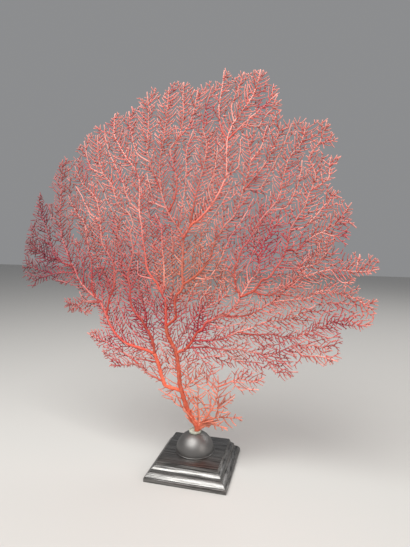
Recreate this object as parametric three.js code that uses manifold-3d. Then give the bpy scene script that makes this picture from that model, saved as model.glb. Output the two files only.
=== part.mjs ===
// Sea fan on a moulded square plinth: one flat coral colony, parted at its main forks.
// Millimetres, +Z up, +X to the viewer's right, +Y away from the viewer.
// The origin is the centre of the plinth's underside, and the dome stands over it.
// The fan stands over the plane y = 0.
import * as THREE from 'three';
import { mergeVertices } from 'three/addons/utils/BufferGeometryUtils.js';
import Module from 'manifold-3d';

const wasm = await Module();
wasm.setup();

// Stand
const PLINTH_FOOT = 110;       // side of the square foot
const PLINTH_TOP = 83;         // side of the flat top
const PLINTH_HEIGHT = 23.5;
const LIP_HEIGHT = 5;          // plain upright edge under the mouldings
const DOME_RADIUS = 26.5;
const BEAD = 1.2;              // thin bead round the dome's foot
const COLLAR_RADIUS = 8.5;
const COLLAR_HEIGHT = 3.2;
const COLLAR_DISH = 1.2;       // depth of the hollow that the coral's foot stands in
const COLLAR_RIM = 1.1;        // width of the rim round that hollow
const DOME_SIDES = 20;
const DOME_ROWS = 6;
const COLLAR_SIDES = 14;
const FOOT_SIDES = 10;
const GAP = 0.3;               // clearance between pieces that touch

// Coral
const FAN_X = 2;               // the fan's own origin, seen from the plinth's
const FAN_Z = -2;
const FOOT_X = 0.9;            // where the cut foot stands, from the fan's origin
const FOOT_RADIUS = 3.9;
const FOOT_TAPER = 11;         // height over which the foot narrows into the stem
const SAMPLE = 2;              // spacing of the points that a rib is followed with
const TRACED_STEP = 25;        // length of one straight facet on a main rib
const FILL_STEP = 36;          // the same on a filling rib
const FILL_GAP = 15;           // distance that filling ribs keep from their neighbours
const FILL_LENGTH = 120;       // longest run of a filling rib
const FILL_ROOT = 0.9;         // how far back along its parent it springs, in FILL_GAPs
const FILL_CLEAR = 0.92;       // free space round the place where it starts to run, in FILL_GAPs
const FILL_STOP = 0.58;        // it ends where another rib is this near, in FILL_GAPs
const FILL_SHORTEST = 0.7;     // and is left out if it ran less than this, in FILL_GAPs
const FILL_BOW = 0.08;         // bow of its first stretch, in FILL_GAPs
const FILL_SWAY = 0.1;         // it swings this much from side to side
const FILL_STEER = 0.3;        // share of the direction of growth in each new heading
const FLOW_BLUR = 60;          // square millimetres over which directions melt into each other
const TIP_RADIUS = 0.5;
const FILL_SHARE = 0.7;        // radius of a filling rib, as a share of its parent's there
const BRANCHLET_MIN = 7;
const BRANCHLET_MAX = 12;
const BRANCHLET_ANGLE = 55 * Math.PI / 180;
const BRANCHLET_SHARE = 0.62;  // radius of a branchlet's root, as a share of its rib's there
const BRANCHLET_STOUTEST = 0.8;
const BRANCHLET_SPOT = 2.5;    // a branchlet takes up its tip and two spots this far apart
const STOUT = 2.8;             // a rib that starts with more than this radius has six sides
const JOIN = 7;                // a rib that starts this near to another one starts on its centre line
const BRANCHLET_CLEAR = 2.8;   // free space that a branchlet's tip keeps to other ribs
const CURVE_STEPS = 12;        // steps of a smooth curve between two of its points

// The fan is not quite flat. Its outline was taken from EYE, so a point that lies behind the
// plane y = 0 is moved along its line of sight, and the outline stays as it was seen.
// EYE is counted from the fan's own origin, as its points are.
const EYE = new THREE.Vector3(141, -529, 324);
const LOBE_EDGE = -185;        // left of here the fan curls back
const LOBE_CURL = 0.0060;
const RIGHT_EDGE = 150;        // right of here it leans a little forward
const RIGHT_LEAN = 0.003;
const WAVE = 3.5;              // height of the fan's shallow waves
const WAVE_LENGTH = 150;       // across the fan
const WAVE_HEIGHT = 240;       // up the fan
const FLAT_BELOW = 70;         // no waves below this height
const LAYER_RUN = 24;          // run over which a spray behind the fan leaves it

const rib = (from, to, points, behind = 0) => ({ from, to, points, behind });

// Main ribs, limb by limb: radius at the start and the end, then points on the fan's plane (x, z).
const LIMBS = {
  'stem': [
    rib(4.1, 3.0, [[0.5, 59], [-7, 70], [-15, 86], [-20, 101], [-25, 118], [-26, 135], [-28, 150],
      [-30, 161], [-36, 173], [-42, 184], [-45, 197]]),
    rib(1.6, 0.5, [[1.5, 60], [3, 75], [1, 95], [3, 116]]),
  ],
  'central-limb': [
    rib(2.5, 0.6, [[-45, 197], [-38, 203], [-31, 211], [-32, 226], [-31, 240], [-24, 247], [-21, 256],
      [-22, 275], [-21, 300], [-21, 318], [-27, 331], [-35, 342], [-42, 353], [-48, 367], [-52, 382],
      [-54, 403], [-54, 422], [-50, 440], [-46, 465], [-44, 483], [-41, 515]]),
    rib(1.2, 0.5, [[-52, 382], [-58, 394], [-67, 416], [-72, 440], [-70, 465], [-70, 496], [-72, 511]]),
    rib(1.3, 0.5, [[-42, 353], [-33, 371], [-30, 394], [-35, 417], [-39, 436], [-30, 448], [-25, 458],
      [-21, 480], [-22, 499], [-21, 520]]),
    rib(1.0, 0.5, [[-30, 448], [-16, 462], [-8, 481], [-2, 508]]),
    rib(1.1, 0.5, [[-31, 232], [-20, 243], [-9, 254], [-1, 270], [3, 290], [3, 312]], 11),
  ],
  'upright-limb': [
    rib(2.2, 0.7, [[-45, 197], [-46, 233], [-50, 240], [-48, 255], [-48, 280], [-50, 300], [-51, 317],
      [-52, 333], [-60, 352]]),
    rib(1.8, 0.6, [[-50, 240], [-58, 256], [-68, 268], [-73, 278], [-76, 300], [-79, 320], [-80, 333],
      [-84, 357], [-83, 380], [-84, 398], [-90, 412], [-102, 427], [-113, 445], [-120, 460], [-118, 486]]),
    rib(1.1, 0.5, [[-49, 248], [-58, 270], [-62, 292], [-64, 318], [-68, 345], [-70, 372], [-66, 398]], 11),
    rib(1.1, 0.5, [[-46, 215], [-36, 236], [-35, 262], [-37, 290], [-36, 318], [-40, 338]], 10),
  ],
  'upper-right-limb': [
    rib(2.0, 0.6, [[-21, 318], [-10, 336], [1, 344], [14, 358], [24, 372], [31, 386], [37, 400],
      [37, 415], [37, 433], [38, 449], [44, 463], [53, 476], [67, 494], [74, 510], [78, 527]]),
    rib(1.3, 0.5, [[38, 445], [60, 465], [80, 481], [99, 497]]),
    rib(1.5, 0.5, [[-12, 333], [-7, 358], [-2, 383], [4, 403], [9, 426], [10, 442], [5, 462], [8, 483],
      [17, 512]]),
    rib(1.0, 0.5, [[38, 445], [29, 460], [26, 483], [28, 499], [31, 518], [32, 530]]),
    rib(1.1, 0.5, [[-10, 336], [8, 362], [18, 386], [22, 410], [20, 436], [14, 456]], 11),
  ],
  'middle-right-limb': [
    rib(2.0, 0.6, [[-21, 256], [-8, 265], [2, 273], [11, 284], [18, 298], [23, 315], [35, 335],
      [48, 349], [55, 367], [61, 390], [66, 406], [68, 421], [65, 438], [62, 455]]),
    rib(1.3, 0.5, [[59, 381], [76, 399], [85, 412], [94, 428], [100, 444], [104, 463]]),
  ],
  'left-stem': [
    rib(3.0, 2.6, [[-22, 108], [-40, 111], [-46, 113], [-48, 118], [-52, 128], [-55, 140], [-59, 150],
      [-62, 157]]),
  ],
  'inner-left-limb': [
    rib(2.4, 0.6, [[-62, 157], [-63, 168], [-65, 175], [-70, 187], [-77, 197], [-80, 203], [-88, 211],
      [-95, 220], [-98, 233], [-98, 250], [-101, 263], [-99, 277], [-95, 290], [-93, 300], [-96, 317],
      [-97, 327], [-93, 337], [-100, 353], [-110, 360], [-117, 367], [-120, 378], [-125, 392],
      [-133, 401], [-139, 411], [-144, 430], [-145, 459]]),
    rib(1.2, 0.5, [[-74, 192], [-74, 212], [-80, 234], [-85, 256], [-86, 280], [-85, 304]], 11),
    rib(1.2, 0.5, [[-98, 250], [-110, 276], [-116, 300], [-116, 326], [-108, 352]], 10),
  ],
  'left-arc-limb': [
    rib(2.4, 0.6, [[-62, 157], [-73, 161], [-90, 165], [-103, 168], [-112, 174], [-122, 183],
      [-130, 195], [-135, 207], [-140, 218], [-145, 226], [-152, 233], [-160, 238], [-166, 244],
      [-172, 250], [-178, 257], [-182, 267], [-187, 277], [-192, 284], [-198, 302], [-204, 318],
      [-206, 335], [-206, 350], [-204, 380], [-200, 428]]),
    rib(1.4, 0.6, [[-145, 226], [-160, 225], [-172, 226], [-182, 220], [-192, 220], [-197, 226]]),
    rib(0.9, 0.5, [[-182, 220], [-173, 212], [-162, 209]]),
    rib(0.8, 0.5, [[-182, 220], [-197, 209]]),
    rib(0.9, 0.5, [[-172, 226], [-177, 240]]),
    rib(1.1, 0.5, [[-103, 168], [-112, 187], [-118, 200], [-123, 212], [-128, 222]]),
    rib(1.2, 0.5, [[-172, 250], [-170, 270], [-174, 287], [-179, 300], [-183, 316]]),
  ],
  'left-rib-limb': [
    rib(1.9, 0.5, [[-135, 207], [-132, 223], [-130, 233], [-125, 243], [-122, 253], [-122, 267],
      [-123, 282], [-132, 297], [-140, 310], [-142, 330], [-143, 345], [-145, 358], [-149, 373],
      [-158, 383], [-171, 396], [-181, 418]]),
    rib(1.1, 0.5, [[-125, 243], [-136, 266], [-148, 290], [-154, 318], [-160, 342]], 10),
  ],
  'outer-left-limb': [
    rib(1.7, 0.5, [[-152, 233], [-157, 245], [-157, 258], [-157, 270], [-158, 287], [-161, 300],
      [-163, 313], [-168, 340], [-177, 350], [-185, 362], [-192, 377]]),
  ],
  'left-lobe': [
    rib(1.7, 0.6, [[-187, 277], [-201, 280], [-210, 285], [-218, 293], [-222, 307], [-228, 326],
      [-239, 362], [-238, 381]]),
    rib(1.1, 0.5, [[-222, 307], [-238, 314], [-250, 323], [-256, 335]]),
    rib(1.0, 0.5, [[-210, 285], [-226, 288], [-240, 296], [-254, 308], [-258, 318]], 8),
  ],
  'lobe-foot': [
    rib(1.5, 0.6, [[-182, 267], [-200, 267], [-220, 264], [-245, 256], [-258, 250]]),
    rib(1.0, 0.5, [[-220, 264], [-245, 270], [-262, 276], [-266, 289]]),
  ],
  'low-left-spray': [
    rib(1.8, 0.5, [[-48, 118], [-56, 121], [-75, 130], [-86, 140], [-102, 138], [-118, 135], [-131, 134]]),
    rib(1.3, 0.5, [[-86, 140], [-100, 150], [-118, 159], [-139, 170], [-158, 176], [-166, 180]]),
  ],
  'upper-left-spray': [
    rib(1.3, 0.5, [[-57, 145], [-75, 147], [-102, 152], [-113, 160], [-125, 170], [-133, 180], [-137, 187]]),
  ],
  'right-limb': [
    rib(2.6, 0.6, [[-30, 161], [-23, 164], [-18, 166], [-12, 173], [-7, 180], [-1, 191], [7, 197],
      [11, 205], [20, 210], [33, 217], [43, 221], [52, 230], [58, 243], [66, 256], [71, 266], [80, 276],
      [82, 290], [84, 304], [86, 314], [94, 326], [101, 337], [109, 346]]),
    rib(1.6, 0.5, [[58, 243], [52, 256], [50, 266], [50, 280], [54, 291], [59, 306], [67, 316],
      [74, 330], [82, 343], [92, 355], [101, 366], [107, 381], [108, 392], [111, 404], [114, 416],
      [121, 427], [129, 437], [133, 450], [134, 461]]),
    rib(1.1, 0.5, [[82, 290], [74, 312], [80, 334], [92, 352]], 10),
    rib(1.1, 0.5, [[-1, 191], [2, 212], [10, 232], [22, 248], [30, 266], [36, 290]], 9),
  ],
  'outer-right-limb': [
    rib(1.9, 0.6, [[58, 243], [74, 251], [81, 259], [86, 267], [93, 269], [100, 277], [104, 284],
      [111, 294], [115, 306], [118, 319], [119, 330], [127, 345], [136, 359], [140, 372], [146, 387],
      [148, 397], [144, 409], [140, 421], [151, 437], [156, 450], [159, 462]]),
    rib(1.1, 0.5, [[104, 284], [124, 283], [137, 285], [149, 288], [160, 298], [170, 311]]),
    rib(1.2, 0.5, [[115, 306], [129, 306], [137, 315], [149, 324], [161, 330], [173, 338], [179, 343],
      [189, 341], [198, 334]]),
    rib(0.9, 0.5, [[173, 338], [182, 350], [191, 364]]),
    rib(1.2, 0.5, [[74, 251], [94, 247], [110, 255], [128, 267], [146, 276], [170, 282], [200, 281],
      [214, 282], [226, 285]]),
    rib(0.8, 0.5, [[200, 281], [201, 292], [203, 302]]),
  ],
  'side-limb': [
    rib(1.5, 0.5, [[33, 217], [55, 217], [76, 223], [98, 237], [121, 242], [144, 246], [160, 256],
      [176, 254], [190, 250], [200, 248], [214, 241], [225, 248]]),
    rib(1.0, 0.5, [[98, 237], [122, 262], [146, 296], [160, 324]], 9),
  ],
  'lower-right-limb': [
    rib(1.6, 0.5, [[-7, 180], [8, 181], [24, 183], [40, 188], [55, 196], [69, 201], [92, 212],
      [117, 217], [140, 228], [153, 237]]),
    rib(1.2, 0.5, [[55, 196], [78, 194], [99, 196], [124, 192], [142, 200], [158, 208], [180, 218],
      [198, 219], [207, 214], [221, 221]]),
  ],
  'lowest-right-limb': [
    rib(1.5, 0.5, [[-17, 168], [8, 172], [40, 171], [60, 173], [70, 170], [83, 170], [94, 166],
      [103, 170], [116, 177], [127, 183], [142, 185], [158, 185], [176, 180]]),
    rib(0.9, 0.5, [[83, 170], [101, 162], [128, 162]]),
  ],
  'low-right-spray': [
    rib(2.2, 0.6, [[2, 58], [8, 66], [17, 79], [26, 97], [30, 119], [29, 135]]),
    rib(1.2, 0.5, [[30, 119], [39, 123], [58, 132], [78, 130], [92, 138]]),
    rib(1.2, 0.5, [[8, 66], [18, 72], [33, 76], [49, 77], [63, 80]]),
    rib(1.1, 0.5, [[9, 67], [27, 64], [44, 62]]),
  ],
};

// Outline of the fan on its plane (x, z), tip to tip, anticlockwise from the foot.
const OUTLINE = [
  [2, 55], [20, 60], [40, 58], [55, 68], [66, 80], [40, 84], [45, 95], [55, 108], [42, 106], [60, 114],
  [72, 110], [85, 120], [95, 140], [88, 150], [100, 150], [115, 135], [123, 140], [140, 152],
  [133, 160], [150, 165], [165, 160], [188, 168], [183, 180], [185, 190], [188, 197], [180, 208],
  [200, 212], [207, 209], [222, 218], [226, 250], [215, 245], [200, 252], [205, 262], [197, 268],
  [200, 276], [228, 282], [222, 298], [202, 306], [190, 300], [185, 310], [191, 328], [184, 332],
  [200, 333], [190, 344], [193, 366], [182, 362], [180, 375], [165, 384], [172, 400], [168, 408],
  [178, 418], [165, 420], [172, 441], [163, 448], [160, 466], [150, 462], [135, 463], [125, 473],
  [118, 460], [113, 470], [103, 478], [105, 498], [90, 512], [85, 523], [78, 528], [66, 525],
  [54, 527], [45, 517], [33, 532], [30, 515], [17, 518], [0, 513], [-8, 510], [-22, 524], [-42, 518],
  [-50, 500], [-63, 518], [-70, 513], [-75, 500], [-84, 505], [-95, 490], [-110, 480], [-118, 490],
  [-125, 475], [-145, 472], [-160, 460], [-172, 445], [-190, 425], [-200, 435], [-205, 420],
  [-215, 400], [-225, 388], [-213, 380], [-215, 365], [-232, 365], [-238, 383], [-243, 370],
  [-250, 350], [-260, 325], [-268, 290], [-273, 260], [-265, 245], [-258, 242], [-240, 252],
  [-225, 258], [-205, 250], [-185, 248], [-178, 243], [-173, 232], [-190, 229], [-202, 228],
  [-200, 206], [-180, 213], [-162, 204], [-156, 220], [-148, 218], [-145, 205], [-143, 195],
  [-150, 185], [-168, 183], [-155, 170], [-140, 150], [-133, 133], [-110, 134], [-90, 138], [-70, 124],
  [-50, 112], [-55, 106], [-48, 95], [-38, 90], [-22, 86], [-12, 68],
];

const COLOURS = { wood: 0x211d1b, dome: 0x3a332f, collar: 0xb9bcab, coral: 0xd2604f };
const material = (color, roughness, metalness = 0) =>
  new THREE.MeshStandardMaterial({ color, roughness, metalness, flatShading: true });
const wood = material(COLOURS.wood, 0.35);
const lacquer = material(COLOURS.dome, 0.3, 0.2);
const pale = material(COLOURS.collar, 0.4);
const coral = material(COLOURS.coral, 0.8);

// Geometry to solid and back.
function toSolid(geometry) {
  geometry.deleteAttribute('normal');
  geometry.deleteAttribute('uv');
  const merged = mergeVertices(geometry, 1e-4);
  return new wasm.Manifold(new wasm.Mesh({
    numProp: 3,
    vertProperties: merged.getAttribute('position').array,
    triVerts: new Uint32Array(merged.getIndex().array),
  }));
}

function toGeometry(solid) {
  const mesh = solid.getMesh();
  const geometry = new THREE.BufferGeometry();
  geometry.setAttribute('position', new THREE.BufferAttribute(mesh.vertProperties, 3));
  geometry.setIndex(new THREE.BufferAttribute(mesh.triVerts, 1));
  return geometry;
}

// Stand

function plinthGeometry() {
  const foot = PLINTH_FOOT / 2;
  const top = PLINTH_TOP / 2;
  const profile = [
    [0, 0], [foot, 0], [foot, LIP_HEIGHT], [foot - 1, LIP_HEIGHT + 0.6],
    [foot - 1.6, LIP_HEIGHT + 3.2], [foot - 3.6, LIP_HEIGHT + 5.8], [foot - 6.4, LIP_HEIGHT + 7.4],
    [foot - 7.4, LIP_HEIGHT + 8.2], [top + 4.6, LIP_HEIGHT + 12.2], [top + 3, LIP_HEIGHT + 14.6],
    [top + 1, LIP_HEIGHT + 16], [top + 1, PLINTH_HEIGHT - 1.4], [top, PLINTH_HEIGHT - 1.4],
    [top, PLINTH_HEIGHT], [0, PLINTH_HEIGHT],
  ];
  const points = profile.map(([half, z]) => new THREE.Vector2(half * Math.SQRT2, z));
  return new THREE.LatheGeometry(points, 4).rotateY(Math.PI / 4).rotateX(Math.PI / 2);
}

function domeGeometry() {
  const seat = COLLAR_RADIUS + BEAD / 2;
  const top = Math.acos(seat / DOME_RADIUS);
  const points = [new THREE.Vector2(0, 0), new THREE.Vector2(DOME_RADIUS + BEAD, 0)];
  points.push(new THREE.Vector2(DOME_RADIUS + BEAD, BEAD * 0.6));
  points.push(new THREE.Vector2(DOME_RADIUS, BEAD));
  for (let i = 1; i <= DOME_ROWS; i += 1) {
    const angle = top * i / DOME_ROWS;
    points.push(new THREE.Vector2(DOME_RADIUS * Math.cos(angle), DOME_RADIUS * Math.sin(angle)));
  }
  points.push(new THREE.Vector2(0, DOME_RADIUS * Math.sin(top)));
  return new THREE.LatheGeometry(points, DOME_SIDES).rotateX(Math.PI / 2);
}

const DOME_SEAT = Math.sqrt(DOME_RADIUS ** 2 - (COLLAR_RADIUS + BEAD / 2) ** 2);
const DOME_Z = PLINTH_HEIGHT + GAP;
const COLLAR_Z = DOME_Z + DOME_SEAT + GAP;
const FOOT_Z = COLLAR_Z + COLLAR_HEIGHT - COLLAR_DISH + GAP;

function collarGeometry() {
  const dish = COLLAR_RADIUS - COLLAR_RIM;
  const profile = [
    [0, 0], [COLLAR_RADIUS - 0.6, 0], [COLLAR_RADIUS, 0.7], [COLLAR_RADIUS, COLLAR_HEIGHT - 0.6],
    [COLLAR_RADIUS - 0.5, COLLAR_HEIGHT], [dish + 0.2, COLLAR_HEIGHT],
    [dish, COLLAR_HEIGHT - COLLAR_DISH], [0, COLLAR_HEIGHT - COLLAR_DISH],
  ];
  const points = profile.map(([radius, z]) => new THREE.Vector2(radius, z));
  return new THREE.LatheGeometry(points, COLLAR_SIDES).rotateX(Math.PI / 2);
}

// Coral: growth on the fan's plane

const distance = (a, b) => Math.hypot(b[0] - a[0], b[1] - a[1]);
const mix = (a, b, t) => [a[0] + (b[0] - a[0]) * t, a[1] + (b[1] - a[1]) * t];

function insideOutline(x, z) {
  let inside = false;
  OUTLINE.forEach(([xi, zi], i) => {
    const [xj, zj] = OUTLINE[(i + OUTLINE.length - 1) % OUTLINE.length];
    if ((zi > z) !== (zj > z) && x < (xj - xi) * (z - zi) / (zj - zi) + xi) inside = !inside;
  });
  return inside;
}

// A smooth curve through the points, given back as evenly spaced points.
function follow(points, step) {
  const fine = [];
  const ends = [points[0], ...points, points.at(-1)];
  for (let i = 1; i < ends.length - 2; i += 1) {
    const [a, b, c, d] = ends.slice(i - 1, i + 3);
    for (let k = 0; k < CURVE_STEPS; k += 1) {
      const t = k / CURVE_STEPS;
      fine.push([0, 1].map((m) => 0.5 * (2 * b[m] + (c[m] - a[m]) * t
        + (2 * a[m] - 5 * b[m] + 4 * c[m] - d[m]) * t * t
        + (3 * b[m] - a[m] - 3 * c[m] + d[m]) * t ** 3)));
    }
  }
  fine.push(points.at(-1));
  let total = 0;
  for (let i = 1; i < fine.length; i += 1) total += distance(fine[i - 1], fine[i]);
  const count = Math.max(1, Math.round(total / step));
  const even = [fine[0]];
  let run = 0;
  for (let i = 1; i < fine.length; i += 1) {
    const length = distance(fine[i - 1], fine[i]);
    while (length > 0 && even.length < count && run + length >= even.length * total / count) {
      even.push(mix(fine[i - 1], fine[i], (even.length * total / count - run) / length));
    }
    run += length;
  }
  even.push(fine.at(-1));
  return even;
}

// The points taken up so far, kept in square cells so that the nearest one is found quickly.
class Taken {
  constructor(cell = 4) {
    this.cell = cell;
    this.cells = new Map();
  }

  key(i, j) {
    return i * 1000 + j;
  }

  add(points) {
    for (const [x, z] of points) {
      const key = this.key(Math.floor(x / this.cell), Math.floor(z / this.cell));
      if (!this.cells.has(key)) this.cells.set(key, []);
      this.cells.get(key).push([x, z]);
    }
  }

  // Distance to the nearest point, or reach if there is none nearer.
  nearest(x, z, reach) {
    const ring = Math.ceil(reach / this.cell);
    const ci = Math.floor(x / this.cell);
    const cj = Math.floor(z / this.cell);
    let best = reach;
    for (let i = ci - ring; i <= ci + ring; i += 1) {
      for (let j = cj - ring; j <= cj + ring; j += 1) {
        for (const point of this.cells.get(this.key(i, j)) ?? []) {
          best = Math.min(best, Math.hypot(point[0] - x, point[1] - z));
        }
      }
    }
    return best;
  }
}

const ribs = [];
for (const [limb, list] of Object.entries(LIMBS)) {
  for (const { from, to, points, behind } of list) {
    ribs.push({ limb, from, to, behind, traced: true, points: follow(points, SAMPLE) });
  }
}
const front = ribs.filter((entry) => entry.behind === 0);

const taken = new Taken();
for (const entry of front) taken.add(entry.points);

// Direction of growth at a place: the directions of the main ribs near it.
const flowSamples = [];
for (const { points } of front) {
  for (let i = 1; i < points.length - 1; i += 4) {
    const [dx, dz] = [points[i + 1][0] - points[i - 1][0], points[i + 1][1] - points[i - 1][1]];
    const length = Math.hypot(dx, dz) || 1;
    flowSamples.push([points[i][0], points[i][1], dx / length, dz / length]);
  }
}

function flow(x, z, along) {
  let u = 0;
  let v = 0;
  for (const [sx, sz, du, dv] of flowSamples) {
    const weight = 1 / ((sx - x) ** 2 + (sz - z) ** 2 + FLOW_BLUR) ** 2;
    u += weight * du;
    v += weight * dv;
  }
  const length = (Math.hypot(u, v) || 1) * (u * along[0] + v * along[1] < 0 ? -1 : 1);
  return [u / length, v / length];
}

// One filling rib: it leaves its parent at root, bows out to seed and then runs with the flow.
function growFilling(root, seed, outward, along, index) {
  const middle = mix(root, seed, 0.5);
  const bow = FILL_BOW * FILL_GAP;
  const path = [root, [middle[0] + outward[0] * bow, middle[1] + outward[1] * bow]];
  const run = [seed];
  let [x, z] = seed;
  let heading = flow(x, z, along);
  for (let step = 0; step < FILL_LENGTH / SAMPLE; step += 1) {
    const pull = flow(x, z, heading);
    const turned = mix(heading, pull, FILL_STEER);
    const length = Math.hypot(turned[0], turned[1]);
    heading = [turned[0] / length, turned[1] / length];
    const sway = FILL_SWAY * Math.sin(0.19 * (x + 1.7 * z) + index);
    const nextX = x + SAMPLE * (heading[0] - heading[1] * sway);
    const nextZ = z + SAMPLE * (heading[1] + heading[0] * sway);
    if (!insideOutline(nextX, nextZ)) break;
    if (taken.nearest(nextX, nextZ, FILL_GAP) < FILL_GAP * FILL_STOP) break;
    run.push([nextX, nextZ]);
    [x, z] = [nextX, nextZ];
  }
  const steps = run.length - 1;
  if (steps * SAMPLE < FILL_GAP * FILL_SHORTEST) return null;
  const kept = run.filter((_, i) => i % 3 === 0);
  if (steps % 3) kept.push(run.at(-1));
  return follow([...path, ...kept], SAMPLE);
}

// Radius of a rib at its point i: it runs evenly from the start to the end.
const radiusAt = ({ from, to, points }, i) => from + (to - from) * i / (points.length - 1);

// Filling ribs run beside the main ribs, and then beside each other, until the fan is full.
function fillFan() {
  const back = Math.round(FILL_GAP * FILL_ROOT / SAMPLE);
  const queue = [...front];
  for (let index = 0; index < queue.length; index += 1) {
    const { limb, points } = queue[index];
    for (let i = back + 1; i < points.length - 1; i += 2) {
      for (const side of [1, -1]) {
        const along = [points[i + 1][0] - points[i - 1][0], points[i + 1][1] - points[i - 1][1]];
        const length = Math.hypot(along[0], along[1]);
        const outward = [-along[1] / length * side, along[0] / length * side];
        const seed = [points[i][0] + outward[0] * FILL_GAP, points[i][1] + outward[1] * FILL_GAP];
        if (!insideOutline(seed[0], seed[1])) continue;
        if (taken.nearest(seed[0], seed[1], FILL_GAP) < FILL_GAP * FILL_CLEAR) continue;
        const grown = growFilling(points[i - back], seed, outward, along, index);
        if (!grown) continue;
        const parent = radiusAt(queue[index], i - back);
        const radius = Math.max(TIP_RADIUS, FILL_SHARE * parent);
        const entry = { limb, from: radius, to: TIP_RADIUS, behind: 0, traced: false, points: grown };
        taken.add(grown);
        queue.push(entry);
        ribs.push(entry);
      }
    }
  }
}
fillFan();

// Coral: solids

const fade = (value, low, high) => THREE.MathUtils.smoothstep(value, low, high);

// Depth of the fan's sheet behind its plane.
function sheetDepth(x, z) {
  const curl = LOBE_CURL * Math.max(0, LOBE_EDGE - x) ** 2;
  const lean = -RIGHT_LEAN * Math.max(0, x - RIGHT_EDGE) ** 2;
  const across = Math.sin(2 * Math.PI * x / WAVE_LENGTH + 0.8);
  const upwards = Math.cos(2 * Math.PI * z / WAVE_HEIGHT);
  return curl + lean + WAVE * across * upwards * fade(z, FLAT_BELOW, 2 * FLAT_BELOW);
}

function place(x, z, behind) {
  const y = sheetDepth(x, z) + behind;
  const scale = (y - EYE.y) / -EYE.y;
  return new THREE.Vector3(EYE.x + (x - EYE.x) * scale, y, EYE.z + (z - EYE.z) * scale);
}

// How far behind the sheet a rib runs at its point i.
const layerAt = (entry, i) => entry.behind * fade(i * SAMPLE, 0, LAYER_RUN);

// A regular polygon, flat side first.
const ngon = (sides) => new THREE.Shape(Array.from({ length: sides }, (_, i) => {
  const angle = 2 * Math.PI * (i + 0.5) / sides;
  return new THREE.Vector2(Math.cos(angle), Math.sin(angle));
}));

// Centre line of a rib's rod: straight facets, the first of which starts on the rib it springs from.
function centreLine(entry, earlier) {
  const curve = new THREE.CatmullRomCurve3(entry.points.map(([x, z], i) => place(x, z, layerAt(entry, i))));
  const steps = Math.max(1, Math.round(curve.getLength() / (entry.traced ? TRACED_STEP : FILL_STEP)));
  const spaced = curve.getSpacedPoints(steps);
  const chain = spaced.map((centre) => centre.clone());
  const facet = new THREE.Line3();
  const foot = new THREE.Vector3();
  let nearest = JOIN;
  for (const { chain: other } of earlier) {
    for (let i = 1; i < other.length; i += 1) {
      facet.set(other[i - 1], other[i]).closestPointToPoint(spaced[0], true, foot);
      if (foot.distanceTo(spaced[0]) >= nearest) continue;
      nearest = foot.distanceTo(spaced[0]);
      chain[0].copy(foot);
    }
  }
  return { curve, spaced, chain };
}

// A tapered rod along a rib. Its radius runs evenly from the start to the end, plus spare.
function rodSolid({ curve, spaced, chain, from, to, traced }, spare = 0) {
  const steps = chain.length - 1;
  const sides = from > STOUT ? 6 : traced ? 4 : 3;
  const geometry = new THREE.ExtrudeGeometry(ngon(sides), { steps, bevelEnabled: false, extrudePath: curve });
  const position = geometry.getAttribute('position');
  const vertex = new THREE.Vector3();
  for (let i = 0; i < position.count; i += 1) {
    vertex.fromBufferAttribute(position, i);
    const gaps = spaced.map((centre) => vertex.distanceTo(centre));
    const ring = gaps.indexOf(Math.min(...gaps));
    const radius = from + (to - from) * ring / steps + spare;
    vertex.sub(spaced[ring]).multiplyScalar(radius).add(chain[ring]);
    position.setXYZ(i, vertex.x, vertex.y, vertex.z);
  }
  return toSolid(geometry);
}

// Coarse branchlets on alternate sides, one in the middle of a facet, each a needle that ends
// short of the next rib. A main rib has one on every second facet.
function branchlets(entry) {
  const { points, chain, from, to, traced, behind } = entry;
  const solids = [];
  const free = behind ? new Taken() : taken;
  const facets = chain.length - 1;
  let side = 1;
  for (let facet = facets - 1; facet >= 0; facet -= traced ? 2 : 1) {
    side = -side;
    const share = (facet + 0.5) / facets;
    const i = Math.min(points.length - 2, Math.max(1, Math.round(share * (points.length - 1))));
    const [dx, dz] = [points[i + 1][0] - points[i - 1][0], points[i + 1][1] - points[i - 1][1]];
    const angle = Math.atan2(dz, dx) + side * BRANCHLET_ANGLE;
    const tip = (reach) => [points[i][0] + Math.cos(angle) * reach, points[i][1] + Math.sin(angle) * reach];
    const clear = (reach) => insideOutline(...tip(reach)) && free.nearest(...tip(reach), 4) > BRANCHLET_CLEAR;
    let reach = BRANCHLET_MIN;
    while (reach < BRANCHLET_MAX && clear(reach + 1)) reach += 1;
    if (reach === BRANCHLET_MIN) continue;
    const start = chain[facet].clone().lerp(chain[facet + 1], 0.5);
    const end = place(...tip(reach), layerAt(entry, i));
    solids.push(needle(start, end, BRANCHLET_SHARE * (from + (to - from) * share)));
    if (!behind) taken.add([0, 1, 2].map((spot) => tip(reach - spot * BRANCHLET_SPOT)));
  }
  return solids;
}

function needle(start, end, radius) {
  const length = start.distanceTo(end);
  const stout = Math.min(radius, BRANCHLET_STOUTEST);
  const cone = new THREE.ConeGeometry(stout, length, 3, 1).translate(0, length / 2, 0);
  const direction = end.clone().sub(start).normalize();
  cone.applyQuaternion(new THREE.Quaternion().setFromUnitVectors(new THREE.Vector3(0, 1, 0), direction));
  return toSolid(cone.translate(start.x, start.y, start.z));
}

ribs.forEach((entry, index) => Object.assign(entry, centreLine(entry, ribs.slice(0, index))));

// The cut foot: a short stump with a flat underside, which narrows into the stem.
function footSolid(spare = 0) {
  const flare = [
    [0, 0], [FOOT_RADIUS + spare, 0], [FOOT_RADIUS + 0.4 + spare, FOOT_TAPER * 0.3],
    [FOOT_RADIUS - 0.4 + spare, FOOT_TAPER * 0.7], [FOOT_RADIUS * 0.5 + spare, FOOT_TAPER], [0, FOOT_TAPER],
  ];
  const points = flare.map(([radius, z]) => new THREE.Vector2(radius, z));
  const geometry = new THREE.LatheGeometry(points, FOOT_SIDES).rotateX(Math.PI / 2);
  return toSolid(geometry.translate(FOOT_X, 0, FOOT_Z - FAN_Z));
}

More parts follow.
